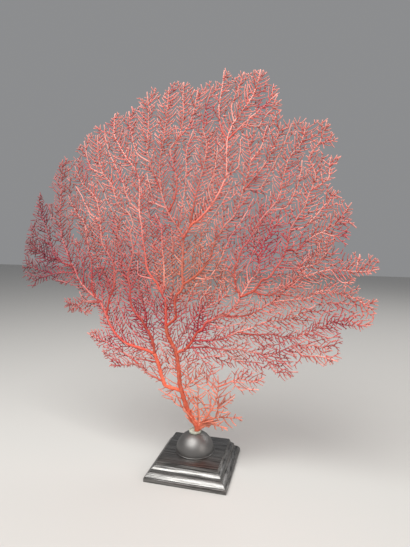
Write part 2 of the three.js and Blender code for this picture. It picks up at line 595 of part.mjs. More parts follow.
// Each limb is one body. It stands off every limb made before it by GAP.
function coralSolids() {
  const done = [];
  return Object.keys(LIMBS).map((limb) => {
    const own = ribs.filter((entry) => entry.limb === limb);
    const parts = own.map((entry) => rodSolid(entry));
    const fat = own.map((entry) => rodSolid(entry, GAP));
    if (limb === 'stem') {
      parts.push(footSolid());
      fat.push(footSolid(GAP));
    }
    for (const entry of own) parts.push(...branchlets(entry));
    let body = wasm.Manifold.union(parts);
    for (const other of done) body = body.subtract(other);
    done.push(wasm.Manifold.union(fat));
    const pieces = body.decompose();
    pieces.sort((a, b) => b.volume() - a.volume());
    return { limb, solid: pieces[0] };
  });
}

// Assembly

function named(name, geometry, finish, x = 0, y = 0, z = 0) {
  const mesh = new THREE.Mesh(geometry, finish);
  mesh.name = name;
  mesh.position.set(x, y, z);
  return mesh;
}

const stand = new THREE.Group();
stand.add(named('plinth', plinthGeometry(), wood));
stand.add(named('dome', domeGeometry(), lacquer, 0, 0, DOME_Z));
stand.add(named('collar', collarGeometry(), pale, 0, 0, COLLAR_Z));

const fan = new THREE.Group();
fan.position.set(FAN_X, 0, FAN_Z);
for (const { limb, solid } of coralSolids()) fan.add(named(limb, toGeometry(solid), coral));

const seaFan = new THREE.Group();
seaFan.add(stand, fan);

export default seaFan;
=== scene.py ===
# %% [markdown]
# A sea fan is a coral colony that grows in one flat sheet: a short stem parts into limbs, the limbs
# into ribs, and every rib carries two rows of fine twigs, like a feather. This one stands on a
# square plinth of blackened wood, in a small pale collar on top of a turned dome.
# This lesson dresses the plain model of it. The stand is modelled by hand with Blender's own
# tools. The coral has thousands of twigs, so it is grown by rules and built as joined meshes.

# %% Load the model that everything is fitted to
import math
import random

import bmesh
import bpy
import numpy as np
from mathutils import Matrix, Vector


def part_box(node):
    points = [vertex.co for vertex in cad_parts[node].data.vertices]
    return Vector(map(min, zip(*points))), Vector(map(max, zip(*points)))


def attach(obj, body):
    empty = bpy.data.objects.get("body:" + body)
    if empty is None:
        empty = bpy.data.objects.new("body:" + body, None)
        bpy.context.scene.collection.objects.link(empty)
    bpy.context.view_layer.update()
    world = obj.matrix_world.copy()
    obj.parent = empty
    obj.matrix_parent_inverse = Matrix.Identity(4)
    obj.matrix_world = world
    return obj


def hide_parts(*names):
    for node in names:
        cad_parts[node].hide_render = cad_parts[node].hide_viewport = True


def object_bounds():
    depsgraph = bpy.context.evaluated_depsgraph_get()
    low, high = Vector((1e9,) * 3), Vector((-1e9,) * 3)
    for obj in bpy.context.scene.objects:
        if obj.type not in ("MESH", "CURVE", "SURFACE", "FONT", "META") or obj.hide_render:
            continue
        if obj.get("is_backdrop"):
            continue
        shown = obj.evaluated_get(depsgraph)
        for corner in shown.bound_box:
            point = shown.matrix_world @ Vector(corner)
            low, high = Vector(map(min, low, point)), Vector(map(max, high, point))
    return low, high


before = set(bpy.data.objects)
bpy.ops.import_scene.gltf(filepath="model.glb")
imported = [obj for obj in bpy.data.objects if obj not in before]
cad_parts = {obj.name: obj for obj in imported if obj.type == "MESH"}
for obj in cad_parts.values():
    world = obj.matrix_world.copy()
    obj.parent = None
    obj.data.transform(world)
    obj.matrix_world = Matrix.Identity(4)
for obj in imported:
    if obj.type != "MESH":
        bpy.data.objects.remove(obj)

MM = 0.001
cad_box = [list(corner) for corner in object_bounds()]
print("model box in metres", cad_box)

# %% [markdown]
# The camera comes first, because the view decides what has to be fine. Its place and lens were
# worked out from the corners of the plinth, which is a square of known shape: about 60 cm in
# front of the piece, a little to its right and above the middle, looking slightly down.

# %% Camera
EYE = Vector((0.1432, -0.5291, 0.3224))
PITCH_DOWN = math.radians(5.45)
TURN_LEFT = math.radians(13.95)
ROLL = math.radians(0.58)
IMAGE_HEIGHT_PX = 547
FOCAL_PX = 411
SENSOR_MM = 36
NEAREST_SEEN = 0.01

forward = Vector((-math.sin(TURN_LEFT) * math.cos(PITCH_DOWN),
                  math.cos(TURN_LEFT) * math.cos(PITCH_DOWN), -math.sin(PITCH_DOWN)))
level = Vector((math.cos(TURN_LEFT), math.sin(TURN_LEFT), 0))
upright = level.cross(forward)
right = level * math.cos(ROLL) + upright * math.sin(ROLL)
up = upright * math.cos(ROLL) - level * math.sin(ROLL)

camera_data = bpy.data.cameras.new("camera")
camera_data.sensor_width = SENSOR_MM
camera_data.lens = SENSOR_MM * FOCAL_PX / IMAGE_HEIGHT_PX
camera_data.clip_start = NEAREST_SEEN
camera = bpy.data.objects.new("camera", camera_data)
bpy.context.scene.collection.objects.link(camera)
camera.matrix_world = Matrix((
    (right.x, up.x, -forward.x, EYE.x),
    (right.y, up.y, -forward.y, EYE.y),
    (right.z, up.z, -forward.z, EYE.z),
    (0, 0, 0, 1)))
bpy.context.scene.camera = camera
print("lens", round(camera_data.lens, 2), "mm")

# %% [markdown]
# Operators act on whatever is selected, and loading leaves the model's own nodes selected. So
# small helpers clear the selection, select one piece alone, and select its top faces by the way
# they point, as a person would pick them with the mouse.

# %% Helpers for modelling by hand
POINTS_UP = 0.9        # a face whose normal has at least this much of up in it


def start_clean():
    if bpy.context.object and bpy.context.object.mode != "OBJECT":
        bpy.ops.object.mode_set(mode="OBJECT")
    bpy.ops.object.select_all(action="DESELECT")


def select_only(piece):
    start_clean()
    piece.select_set(True)
    bpy.context.view_layer.objects.active = piece


def begin_edit():
    bpy.ops.object.mode_set(mode="EDIT")
    bpy.ops.mesh.select_mode(type="FACE")
    bpy.ops.mesh.select_all(action="DESELECT")


def pick_top_faces():
    """Select the faces of the mesh in edit mode that point up."""
    mesh = bmesh.from_edit_mesh(bpy.context.object.data)
    for face in mesh.faces:
        face.select_set(face.normal.z > POINTS_UP)
    mesh.select_flush_mode()
    bmesh.update_edit_mesh(bpy.context.object.data)


def put_place_in_mesh(piece):
    """Leave the object at the origin, with its place in its mesh."""
    select_only(piece)
    bpy.ops.object.transform_apply(location=True, rotation=True, scale=True)


def round_edges(piece, name, width, segments, sharper_than):
    """Bevel the edges that turn by more than an angle, given in degrees."""
    bevel = piece.modifiers.new(name, "BEVEL")
    bevel.width = width
    bevel.segments = segments
    bevel.limit_method = "ANGLE"
    bevel.angle_limit = math.radians(sharper_than)
    bpy.context.view_layer.objects.active = piece
    bpy.ops.object.modifier_apply(modifier=name)


def face_outwards(piece):
    select_only(piece)
    begin_edit()
    bpy.ops.mesh.select_all(action="SELECT")
    bpy.ops.mesh.remove_doubles(threshold=1e-6)
    bpy.ops.mesh.normals_make_consistent(inside=False)
    bpy.ops.object.mode_set(mode="OBJECT")


plinth_low, plinth_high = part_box("plinth")
dome_low, dome_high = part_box("dome")
collar_low, collar_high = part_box("collar")
print("plinth from", plinth_low, "to", plinth_high)

# %% [markdown]
# The plinth is a square block whose edge was run along a moulding cutter: a plain lip at the foot,
# two crowned slopes with a groove between them, and a flat top with a small step. One
# box is enough to start from. Its top face is pushed up again and again, and drawn in a little
# each time, so that the four sides follow the cutter's profile and meet in clean mitres.

# %% Plinth
# Half widths and heights in metres. A slope is given by its foot and its top.
PLINTH_HALF = plinth_high[0]
PLINTH_HEIGHT = plinth_high[2]
LIP_HEIGHT = 0.005
LIP_ROUNDING = [(0.0542, LIP_HEIGHT + 0.0001), (0.0540, 0.0058)]
LOWER_SLOPE = [(0.0538, 0.0065), (0.0487, 0.0110)]
GROOVE = [(0.0480, 0.0113), (0.0475, 0.0122), (0.0473, 0.0138)]
UPPER_SLOPE = [(0.0471, 0.0146), (0.0428, 0.0184)]
SHOULDER = [(0.0425, 0.0191), (0.0423, 0.0205), (0.0422, 0.0220)]
TOP_STEP = [(0.0415, 0.0221), (0.0415, PLINTH_HEIGHT)]
SLOPE_CROWN = 0.0002
SLOPE_STEPS = 9
WORN_EDGE = 0.0004


def crowned(slope):
    """The points along a slope that swells outwards in its middle."""
    (outer, low), (inner, high) = slope
    rows = []
    for i in range(SLOPE_STEPS + 1):
        share = i / SLOPE_STEPS
        swell = SLOPE_CROWN * math.sin(math.pi * share)
        rows.append((outer + (inner - outer) * share + swell, low + (high - low) * share + swell))
    return rows


profile = [*LIP_ROUNDING, *crowned(LOWER_SLOPE), *GROOVE, *crowned(UPPER_SLOPE), *SHOULDER, *TOP_STEP]

start_clean()
bpy.ops.mesh.primitive_cube_add(size=2 * PLINTH_HALF, location=(0, 0, LIP_HEIGHT / 2))
plinth = bpy.context.object
plinth.name = "moulded_plinth"
plinth.scale.z = LIP_HEIGHT / (2 * PLINTH_HALF)
put_place_in_mesh(plinth)
begin_edit()
pick_top_faces()
half, height = PLINTH_HALF, LIP_HEIGHT
for next_half, next_height in profile:
    bpy.ops.mesh.extrude_region_move(TRANSFORM_OT_translate={"value": (0, 0, next_height - height)})
    shrink = next_half / half
    bpy.ops.transform.resize(value=(shrink, shrink, 1), center_override=(0, 0, next_height))
    half, height = next_half, next_height
bpy.ops.object.mode_set(mode="OBJECT")
round_edges(plinth, "worn edges", WORN_EDGE, segments=2, sharper_than=38)
face_outwards(plinth)
bpy.ops.object.shade_smooth_by_angle(angle=math.radians(32))
print("plinth faces", len(plinth.data.polygons), "height", round(height / MM, 1), "mm")

# %% [markdown]
# The dome was turned on a lathe: half a ball with a flat seat on top for the collar, and a thin
# bead round its foot. A ball is cut off level with the foot and with the seat, and the two
# cuts are closed. A thin ring that sinks into the foot makes the bead.

# %% Dome
BEAD_RADIUS = 0.0006
BEAD_OUT = 0.8         # how far its middle stands off the dome, as a share of its radius,
BEAD_UP = 0.9          # and how far above the foot
DOME_RADIUS = (dome_high[0] - dome_low[0]) / 2 - 2 * BEAD_RADIUS
DOME_FOOT = dome_low[2]
DOME_SEAT = dome_high[2]
ROUND_SEGMENTS = 96
dome_centre = (dome_low + dome_high) / 2

start_clean()
bpy.ops.mesh.primitive_uv_sphere_add(segments=ROUND_SEGMENTS, ring_count=64, radius=DOME_RADIUS,
                                     location=(dome_centre[0], dome_centre[1], DOME_FOOT))
dome = bpy.context.object
dome.name = "turned_dome"
put_place_in_mesh(dome)
for cut_height, keep_above in ((DOME_FOOT, True), (DOME_SEAT, False)):
    select_only(dome)
    begin_edit()
    bpy.ops.mesh.select_all(action="SELECT")
    bpy.ops.mesh.bisect(plane_co=(0, 0, cut_height), plane_no=(0, 0, 1), use_fill=True,
                        clear_inner=keep_above, clear_outer=not keep_above)
    bpy.ops.object.mode_set(mode="OBJECT")
start_clean()
bead_place = (dome_centre[0], dome_centre[1], DOME_FOOT + BEAD_RADIUS * BEAD_UP)
bpy.ops.mesh.primitive_torus_add(major_segments=ROUND_SEGMENTS, minor_segments=10,
                                 major_radius=DOME_RADIUS + BEAD_RADIUS * BEAD_OUT,
                                 minor_radius=BEAD_RADIUS, location=bead_place)
bead = bpy.context.object
put_place_in_mesh(bead)
select_only(dome)
bead.select_set(True)
bpy.ops.object.join()
face_outwards(dome)
bpy.ops.object.shade_smooth_by_angle(angle=math.radians(35))
print("dome faces", len(dome.data.polygons), "radius", round(DOME_RADIUS / MM, 1), "mm")

# %% [markdown]
# The collar is a low ring with a soft rim and a shallow dish, in which the cut foot of the
# coral stands. A cylinder's top is inset and pushed down for the dish, and a bevel rounds the rim.

# %% Collar
COLLAR_RADIUS = (collar_high[0] - collar_low[0]) / 2
COLLAR_HEIGHT = collar_high[2] - collar_low[2]
COLLAR_RIM = 0.0011
COLLAR_DISH = 0.0012
COLLAR_ROUNDING = 0.00042

start_clean()
bpy.ops.mesh.primitive_cylinder_add(vertices=64, radius=COLLAR_RADIUS, depth=COLLAR_HEIGHT,
                                    location=(collar_low + collar_high) / 2)
collar = bpy.context.object
collar.name = "pale_collar"
put_place_in_mesh(collar)
begin_edit()
pick_top_faces()
bpy.ops.mesh.inset(thickness=COLLAR_RIM, depth=0)
bpy.ops.mesh.extrude_region_move(TRANSFORM_OT_translate={"value": (0, 0, -COLLAR_DISH)})
bpy.ops.object.mode_set(mode="OBJECT")
round_edges(collar, "soft rim", COLLAR_ROUNDING, segments=4, sharper_than=50)
face_outwards(collar)
bpy.ops.object.shade_smooth_by_angle(angle=math.radians(40))
print("collar faces", len(collar.data.polygons))

# %% [markdown]
# The coral grows in a flat sheet, so it is planned in two dimensions: across and up, in
# millimetres. The main ribs follow the real colony. Each is a radius at its root, one at its end
# and the points that it passes through. The last value, where there is one, says how far
# a spray runs behind the sheet. The outline is where the growing stops.

# %% Main ribs, limb by limb


def rib(root_radius, end_radius, points, behind=0):
    return {"from": root_radius, "to": end_radius, "points": points, "behind": behind}


LIMBS = {
  "stem": [
    rib(3.3, 2.7, [(0.5, 59), (-7, 70), (-15, 86), (-20, 101), (-25, 118), (-26, 135), (-28, 150),
      (-30, 161), (-36, 173), (-42, 184), (-45, 197)]),
    rib(1.6, 0.5, [(1.5, 60), (3, 75), (1, 95), (3, 116)]),
  ],
  "central-limb": [
    rib(2.5, 0.6, [(-45, 197), (-38, 203), (-31, 211), (-32, 226), (-31, 240), (-24, 247), (-21, 256),
      (-22, 275), (-21, 300), (-21, 318), (-27, 331), (-35, 342), (-42, 353), (-48, 367), (-52, 382),
      (-54, 403), (-54, 422), (-50, 440), (-46, 465), (-44, 483), (-41, 515)]),
    rib(1.2, 0.5, [(-52, 382), (-58, 394), (-67, 416), (-72, 440), (-70, 465), (-70, 496), (-72, 511)]),
    rib(1.3, 0.5, [(-42, 353), (-33, 371), (-30, 394), (-35, 417), (-39, 436), (-30, 448), (-25, 458),
      (-21, 480), (-22, 499), (-21, 520)]),
    rib(1.0, 0.5, [(-30, 448), (-16, 462), (-8, 481), (-2, 508)]),
    rib(1.1, 0.5, [(-31, 232), (-20, 243), (-9, 254), (-1, 270), (3, 290), (3, 312)], 11),
  ],
  "upright-limb": [
    rib(2.2, 0.7, [(-45, 197), (-46, 233), (-50, 240), (-48, 255), (-48, 280), (-50, 300), (-51, 317),
      (-52, 333), (-60, 352)]),
    rib(1.8, 0.6, [(-50, 240), (-58, 256), (-68, 268), (-73, 278), (-76, 300), (-79, 320), (-80, 333),
      (-84, 357), (-83, 380), (-84, 398), (-90, 412), (-102, 427), (-113, 445), (-120, 460), (-118, 486)]),
    rib(1.1, 0.5, [(-49, 248), (-58, 270), (-62, 292), (-64, 318), (-68, 345), (-70, 372), (-66, 398)], 11),
    rib(1.1, 0.5, [(-46, 215), (-36, 236), (-35, 262), (-37, 290), (-36, 318), (-40, 338)], 10),
  ],
  "upper-right-limb": [
    rib(2.0, 0.6, [(-21, 318), (-10, 336), (1, 344), (14, 358), (24, 372), (31, 386), (37, 400),
      (37, 415), (37, 433), (38, 449), (44, 463), (53, 476), (67, 494), (74, 510), (78, 527)]),
    rib(1.3, 0.5, [(38, 445), (60, 465), (80, 481), (99, 497)]),
    rib(1.5, 0.5, [(-12, 333), (-7, 358), (-2, 383), (4, 403), (9, 426), (10, 442), (5, 462), (8, 483),
      (17, 512)]),
    rib(1.0, 0.5, [(38, 445), (29, 460), (26, 483), (28, 499), (31, 518), (32, 530)]),
    rib(1.1, 0.5, [(-10, 336), (8, 362), (18, 386), (22, 410), (20, 436), (14, 456)], 11),
  ],
  "middle-right-limb": [
    rib(2.0, 0.6, [(-21, 256), (-8, 265), (2, 273), (11, 284), (18, 298), (23, 315), (35, 335),
      (48, 349), (55, 367), (61, 390), (66, 406), (68, 421), (65, 438), (62, 455)]),
    rib(1.3, 0.5, [(59, 381), (76, 399), (85, 412), (94, 428), (100, 444), (104, 463)]),
  ],
  "left-stem": [
    rib(3.0, 2.6, [(-22, 108), (-40, 111), (-46, 113), (-48, 118), (-52, 128), (-55, 140), (-59, 150),
      (-62, 157)]),
  ],
  "inner-left-limb": [
    rib(2.4, 0.6, [(-62, 157), (-63, 168), (-65, 175), (-70, 187), (-77, 197), (-80, 203), (-88, 211),
      (-95, 220), (-98, 233), (-98, 250), (-101, 263), (-99, 277), (-95, 290), (-93, 300), (-96, 317),
      (-97, 327), (-93, 337), (-100, 353), (-110, 360), (-117, 367), (-120, 378), (-125, 392),
      (-133, 401), (-139, 411), (-144, 430), (-145, 459)]),
    rib(1.2, 0.5, [(-74, 192), (-74, 212), (-80, 234), (-85, 256), (-86, 280), (-85, 304)], 11),
    rib(1.2, 0.5, [(-98, 250), (-110, 276), (-116, 300), (-116, 326), (-108, 352)], 10),
  ],
  "left-arc-limb": [
    rib(2.4, 0.6, [(-62, 157), (-73, 161), (-90, 165), (-103, 168), (-112, 174), (-122, 183),
      (-130, 195), (-135, 207), (-140, 218), (-145, 226), (-152, 233), (-160, 238), (-166, 244),
      (-172, 250), (-178, 257), (-182, 267), (-187, 277), (-192, 284), (-198, 302), (-204, 318),
      (-206, 335), (-206, 350), (-204, 380), (-200, 428)]),
    rib(1.4, 0.6, [(-145, 226), (-160, 225), (-172, 226), (-182, 220), (-192, 220), (-197, 226)]),
    rib(0.9, 0.5, [(-182, 220), (-173, 212), (-162, 209)]),
    rib(0.8, 0.5, [(-182, 220), (-197, 209)]),
    rib(0.9, 0.5, [(-172, 226), (-177, 240)]),
    rib(1.1, 0.5, [(-103, 168), (-112, 187), (-118, 200), (-123, 212), (-128, 222)]),
    rib(1.2, 0.5, [(-172, 250), (-170, 270), (-174, 287), (-179, 300), (-183, 316)]),
  ],
  "left-rib-limb": [
    rib(1.9, 0.5, [(-135, 207), (-132, 223), (-130, 233), (-125, 243), (-122, 253), (-122, 267),
      (-123, 282), (-132, 297), (-140, 310), (-142, 330), (-143, 345), (-145, 358), (-149, 373),
      (-158, 383), (-171, 396), (-181, 418)]),
    rib(1.1, 0.5, [(-125, 243), (-136, 266), (-148, 290), (-154, 318), (-160, 342)], 10),
  ],
  "outer-left-limb": [
    rib(1.7, 0.5, [(-152, 233), (-157, 245), (-157, 258), (-157, 270), (-158, 287), (-161, 300),
      (-163, 313), (-168, 340), (-177, 350), (-185, 362), (-192, 377)]),
  ],
  "left-lobe": [
    rib(1.7, 0.6, [(-187, 277), (-201, 280), (-210, 285), (-218, 293), (-222, 307), (-228, 326),
      (-239, 362), (-238, 381)]),
    rib(1.1, 0.5, [(-222, 307), (-238, 314), (-250, 323), (-256, 335)]),
    rib(1.0, 0.5, [(-210, 285), (-226, 288), (-240, 296), (-254, 308), (-258, 318)], 8),
  ],
  "lobe-foot": [
    rib(1.5, 0.6, [(-182, 267), (-200, 267), (-220, 264), (-245, 256), (-258, 250)]),
    rib(1.0, 0.5, [(-220, 264), (-245, 270), (-262, 276), (-266, 289)]),
  ],
  "low-left-spray": [
    rib(1.8, 0.5, [(-48, 118), (-56, 121), (-75, 130), (-86, 140), (-102, 138), (-118, 135), (-131, 134)]),
    rib(1.3, 0.5, [(-86, 140), (-100, 150), (-118, 159), (-139, 170), (-158, 176), (-166, 180)]),
  ],
  "upper-left-spray": [
    rib(1.3, 0.5, [(-57, 145), (-75, 147), (-102, 152), (-113, 160), (-125, 170), (-133, 180), (-137, 187)]),
  ],
  "right-limb": [
    rib(2.6, 0.6, [(-30, 161), (-23, 164), (-18, 166), (-12, 173), (-7, 180), (-1, 191), (7, 197),
      (11, 205), (20, 210), (33, 217), (43, 221), (52, 230), (58, 243), (66, 256), (71, 266), (80, 276),
      (82, 290), (84, 304), (86, 314), (94, 326), (101, 337), (109, 346)]),
    rib(1.6, 0.5, [(58, 243), (52, 256), (50, 266), (50, 280), (54, 291), (59, 306), (67, 316),
      (74, 330), (82, 343), (92, 355), (101, 366), (107, 381), (108, 392), (111, 404), (114, 416),
      (121, 427), (129, 437), (133, 450), (134, 461)]),
    rib(1.1, 0.5, [(82, 290), (74, 312), (80, 334), (92, 352)], 10),
    rib(1.1, 0.5, [(-1, 191), (2, 212), (10, 232), (22, 248), (30, 266), (36, 290)], 9),
  ],
  "outer-right-limb": [
    rib(1.9, 0.6, [(58, 243), (74, 251), (81, 259), (86, 267), (93, 269), (100, 277), (104, 284),
      (111, 294), (115, 306), (118, 319), (119, 330), (127, 345), (136, 359), (140, 372), (146, 387),
      (148, 397), (144, 409), (140, 421), (151, 437), (156, 450), (159, 462)]),
    rib(1.1, 0.5, [(104, 284), (124, 283), (137, 285), (149, 288), (160, 298), (170, 311)]),
    rib(1.2, 0.5, [(115, 306), (129, 306), (137, 315), (149, 324), (161, 330), (173, 338), (179, 343),
      (189, 341), (198, 334)]),
    rib(0.9, 0.5, [(173, 338), (182, 350), (191, 364)]),
    rib(1.2, 0.5, [(74, 251), (94, 247), (110, 255), (128, 267), (146, 276), (170, 282), (200, 281),
      (214, 282), (226, 285)]),
    rib(0.8, 0.5, [(200, 281), (201, 292), (203, 302)]),
  ],
  "side-limb": [
    rib(1.5, 0.5, [(33, 217), (55, 217), (76, 223), (98, 237), (121, 242), (144, 246), (160, 256),
      (176, 254), (190, 250), (200, 248), (214, 241), (225, 248)]),
    rib(1.0, 0.5, [(98, 237), (122, 262), (146, 296), (160, 324)], 9),
  ],
  "lower-right-limb": [
    rib(1.6, 0.5, [(-7, 180), (8, 181), (24, 183), (40, 188), (55, 196), (69, 201), (92, 212),
      (117, 217), (140, 228), (153, 237)]),
    rib(1.2, 0.5, [(55, 196), (78, 194), (99, 196), (124, 192), (142, 200), (158, 208), (180, 218),
      (198, 219), (207, 214), (221, 221)]),
  ],
  "lowest-right-limb": [
    rib(1.5, 0.5, [(-17, 168), (8, 172), (40, 171), (60, 173), (70, 170), (83, 170), (94, 166),
      (103, 170), (116, 177), (127, 183), (142, 185), (158, 185), (176, 180)]),
    rib(0.9, 0.5, [(83, 170), (101, 162), (128, 162)]),
  ],
  "low-right-spray": [
    rib(2.2, 0.6, [(2, 58), (8, 66), (17, 79), (26, 97), (30, 119), (29, 135)]),
    rib(1.2, 0.5, [(30, 119), (39, 123), (58, 132), (78, 130), (92, 138)]),
    rib(1.2, 0.5, [(8, 66), (18, 72), (33, 76), (49, 77), (63, 80)]),
    rib(1.1, 0.5, [(9, 67), (27, 64), (44, 62)]),
  ],
}

# The fan's outline, all round from tip to tip.
OUTLINE = [
  (2, 55), (20, 60), (40, 58), (55, 68), (66, 80), (40, 84), (45, 95), (55, 108), (42, 106), (60, 114),
  (72, 110), (85, 120), (95, 140), (88, 150), (100, 150), (115, 135), (123, 140), (140, 152),
  (133, 160), (150, 165), (165, 160), (188, 168), (183, 180), (185, 190), (188, 197), (180, 208),
  (200, 212), (207, 209), (222, 218), (226, 250), (215, 245), (200, 252), (205, 262), (197, 268),
  (200, 276), (228, 282), (222, 298), (202, 306), (190, 300), (185, 310), (191, 328), (184, 332),
  (200, 333), (190, 344), (193, 366), (182, 362), (180, 375), (165, 384), (172, 400), (168, 408),
  (178, 418), (165, 420), (172, 441), (163, 448), (160, 466), (150, 462), (135, 463), (125, 473),
  (118, 460), (113, 470), (103, 478), (105, 498), (90, 512), (85, 523), (78, 528), (66, 525),
  (54, 527), (45, 517), (33, 532), (30, 515), (17, 518), (0, 513), (-8, 510), (-22, 524), (-42, 518),
  (-50, 500), (-63, 518), (-70, 513), (-75, 500), (-84, 505), (-95, 490), (-110, 480), (-118, 490),
  (-125, 475), (-145, 472), (-160, 460), (-172, 445), (-190, 425), (-200, 435), (-205, 420),
  (-215, 400), (-225, 388), (-213, 380), (-215, 365), (-232, 365), (-238, 383), (-243, 370),
  (-250, 350), (-260, 325), (-268, 290), (-273, 260), (-265, 245), (-258, 242), (-240, 252),
  (-225, 258), (-205, 250), (-185, 248), (-178, 243), (-173, 232), (-190, 229), (-202, 228),
  (-200, 206), (-180, 213), (-162, 204), (-156, 220), (-148, 218), (-145, 205), (-143, 195),
  (-150, 185), (-168, 183), (-155, 170), (-140, 150), (-133, 133), (-110, 134), (-90, 138), (-70, 124),
  (-50, 112), (-55, 106), (-48, 95), (-38, 90), (-22, 86), (-12, 68),
]
print("limbs", len(LIMBS), "points of the outline", len(OUTLINE))

# %% [markdown]
# Three small tools serve all the growing. One turns a few points into a smooth curve with even
# steps. One tells whether a place is inside the outline. The last remembers which places are
# taken, in square cells, so that a growing tip can ask how near its neighbours are without
# measuring to all of them.

# %% Smooth paths and taken places
SAMPLE = 2             # millimetres between the points of a rib
CURVE_STEPS = 12
CELL = 4


def mix(a, b, t):
    return (a[0] + (b[0] - a[0]) * t, a[1] + (b[1] - a[1]) * t)


def follow(points, step):
    """A smooth curve through the points, given back as evenly spaced points."""
    fine = []
    ends = [points[0], *points, points[-1]]
    for a, b, c, d in zip(ends, ends[1:], ends[2:], ends[3:]):
        for k in range(CURVE_STEPS):
            t = k / CURVE_STEPS
            fine.append(tuple(0.5 * (2 * b[m] + (c[m] - a[m]) * t
                                     + (2 * a[m] - 5 * b[m] + 4 * c[m] - d[m]) * t * t
                                     + (3 * b[m] - a[m] - 3 * c[m] + d[m]) * t ** 3) for m in (0, 1)))
    fine.append(points[-1])
    total = sum(math.dist(a, b) for a, b in zip(fine, fine[1:]))
    count = max(1, math.floor(total / step + 0.5))
    even = [fine[0]]
    run = 0
    for a, b in zip(fine, fine[1:]):
        length = math.dist(a, b)
        while length > 0 and len(even) < count and run + length >= len(even) * total / count:
            even.append(mix(a, b, (len(even) * total / count - run) / length))
        run += length
    even.append(fine[-1])
    return even


def inside_outline(x, z):
    """Whether a line from the place to the right crosses the outline an odd number of times."""
    inside = False
    for (xi, zi), (xj, zj) in zip(OUTLINE, [OUTLINE[-1], *OUTLINE[:-1]]):
        if (zi > z) != (zj > z) and x < (xj - xi) * (z - zi) / (zj - zi) + xi:
            inside = not inside
    return inside


class Taken:
    """The places taken up so far, each with the number of the branch that took it."""

    def __init__(self):
        self.cells = {}

    def add(self, points, owner=None):
        for x, z in points:
            key = (math.floor(x / CELL), math.floor(z / CELL))
            self.cells.setdefault(key, []).append((x, z, owner))

    def nearest(self, x, z, reach, skip=None):
        """Distance to the nearest place of another branch, or reach if none is nearer."""
        ring = math.ceil(reach / CELL)
        ci, cj = math.floor(x / CELL), math.floor(z / CELL)
        best = reach
        for i in range(ci - ring, ci + ring + 1):
            for j in range(cj - ring, cj + ring + 1):
                for px, pz, owner in self.cells.get((i, j), ()):
                    if skip is None or owner != skip:
                        best = min(best, math.hypot(px - x, pz - z))
        return best


def trace_ribs(plans):
    """The ribs that are listed, with their points made a smooth path."""
    return [{**plan, "limb": limb, "traced": True, "points": follow(plan["points"], SAMPLE)}
            for limb, limb_plans in plans.items() for plan in limb_plans]


ribs = trace_ribs(LIMBS)
front = [entry for entry in ribs if not entry["behind"]]
taken = Taken()
for entry in front:
    taken.add(entry["points"])
print("main ribs", len(ribs), "metres", round(sum(len(e["points"]) for e in ribs) * SAMPLE * MM, 1))

# %% [markdown]
# All that grows between the main ribs runs with them. So each place on the fan has its own
# direction of growth: an average of the main ribs' directions, in which the near ones count most.

# %% The direction of growth
FLOW_EVERY = 4         # one point in so many gives its direction
FLOW_BLUR = 60         # square millimetres over which directions melt into each other

flow_samples = []
for entry in front:
    for i in range(1, len(entry["points"]) - 1, FLOW_EVERY):
        (ax, az), (bx, bz) = entry["points"][i - 1], entry["points"][i + 1]
        length = math.hypot(bx - ax, bz - az) or 1
        flow_samples.append((*entry["points"][i], (bx - ax) / length, (bz - az) / length))
flow_samples = np.array(flow_samples)
print("directions", len(flow_samples))


def flow(x, z, along):
    """Direction of growth at a place, turned to the same side as along."""
    gap = (flow_samples[:, 0] - x) ** 2 + (flow_samples[:, 1] - z) ** 2 + FLOW_BLUR
    weight = 1 / gap ** 2
    u = float(weight @ flow_samples[:, 2])
    v = float(weight @ flow_samples[:, 3])
    length = (math.hypot(u, v) or 1) * (-1 if u * along[0] + v * along[1] < 0 else 1)
    return u / length, v / length


# %% [markdown]
# Between the main ribs run finer ones, side by side with them. A filling rib springs from its
# parent, bows out sideways, and then runs with the direction of growth until it comes too close
# to another rib or to the edge. The new ribs get neighbours of their own, until the fan is full.

# %% Filling ribs
FILL_GAP = 15          # distance between neighbouring ribs
FILL_LENGTH = 120
# Shares of that gap: how far down the parent a rib is rooted, how clear its first place is,
# how near to others it stops, its shortest length, and how far it bows out.
FILL_ROOT = 0.9
FILL_CLEAR = 0.92
FILL_STOP = 0.58
FILL_SHORTEST = 0.7
FILL_BOW = 0.08
FILL_TURN = 0.3        # share of the direction of growth in each step
FILL_SWAY = 0.1        # a filling rib swings to and fro by this share of each step,
SWAY_PACE = 0.19       # this fast across the fan,
SWAY_SLANT = 1.7       # and this much faster up it
FILL_SHARE = 0.7       # radius, as a share of the parent's
TIP_RADIUS = 0.5


def grow_filling(root, seed, outward, along, index):
    middle = mix(root, seed, 0.5)
    bow = FILL_BOW * FILL_GAP
    run = [seed]
    x, z = seed
    heading = flow(x, z, along)
    while len(run) <= FILL_LENGTH // SAMPLE:
        pull = flow(x, z, heading)
        turned = ((1 - FILL_TURN) * heading[0] + FILL_TURN * pull[0],
                  (1 - FILL_TURN) * heading[1] + FILL_TURN * pull[1])
        length = math.hypot(*turned)
        heading = (turned[0] / length, turned[1] / length)
        sway = FILL_SWAY * math.sin(SWAY_PACE * (x + SWAY_SLANT * z) + index)
        ahead = (x + SAMPLE * (heading[0] - heading[1] * sway), z + SAMPLE * (heading[1] + heading[0] * sway))
        if not inside_outline(*ahead) or taken.nearest(*ahead, FILL_GAP) < FILL_GAP * FILL_STOP:
            break
        run.append(ahead)
        x, z = ahead
    steps = len(run) - 1
    if steps * SAMPLE < FILL_GAP * FILL_SHORTEST:
        return None
    kept = run[::3] + ([run[-1]] if steps % 3 else [])
    return follow([root, (middle[0] + outward[0] * bow, middle[1] + outward[1] * bow), *kept], SAMPLE)


def radius_at(entry, i):
    return entry["from"] + (entry["to"] - entry["from"]) * i / (len(entry["points"]) - 1)


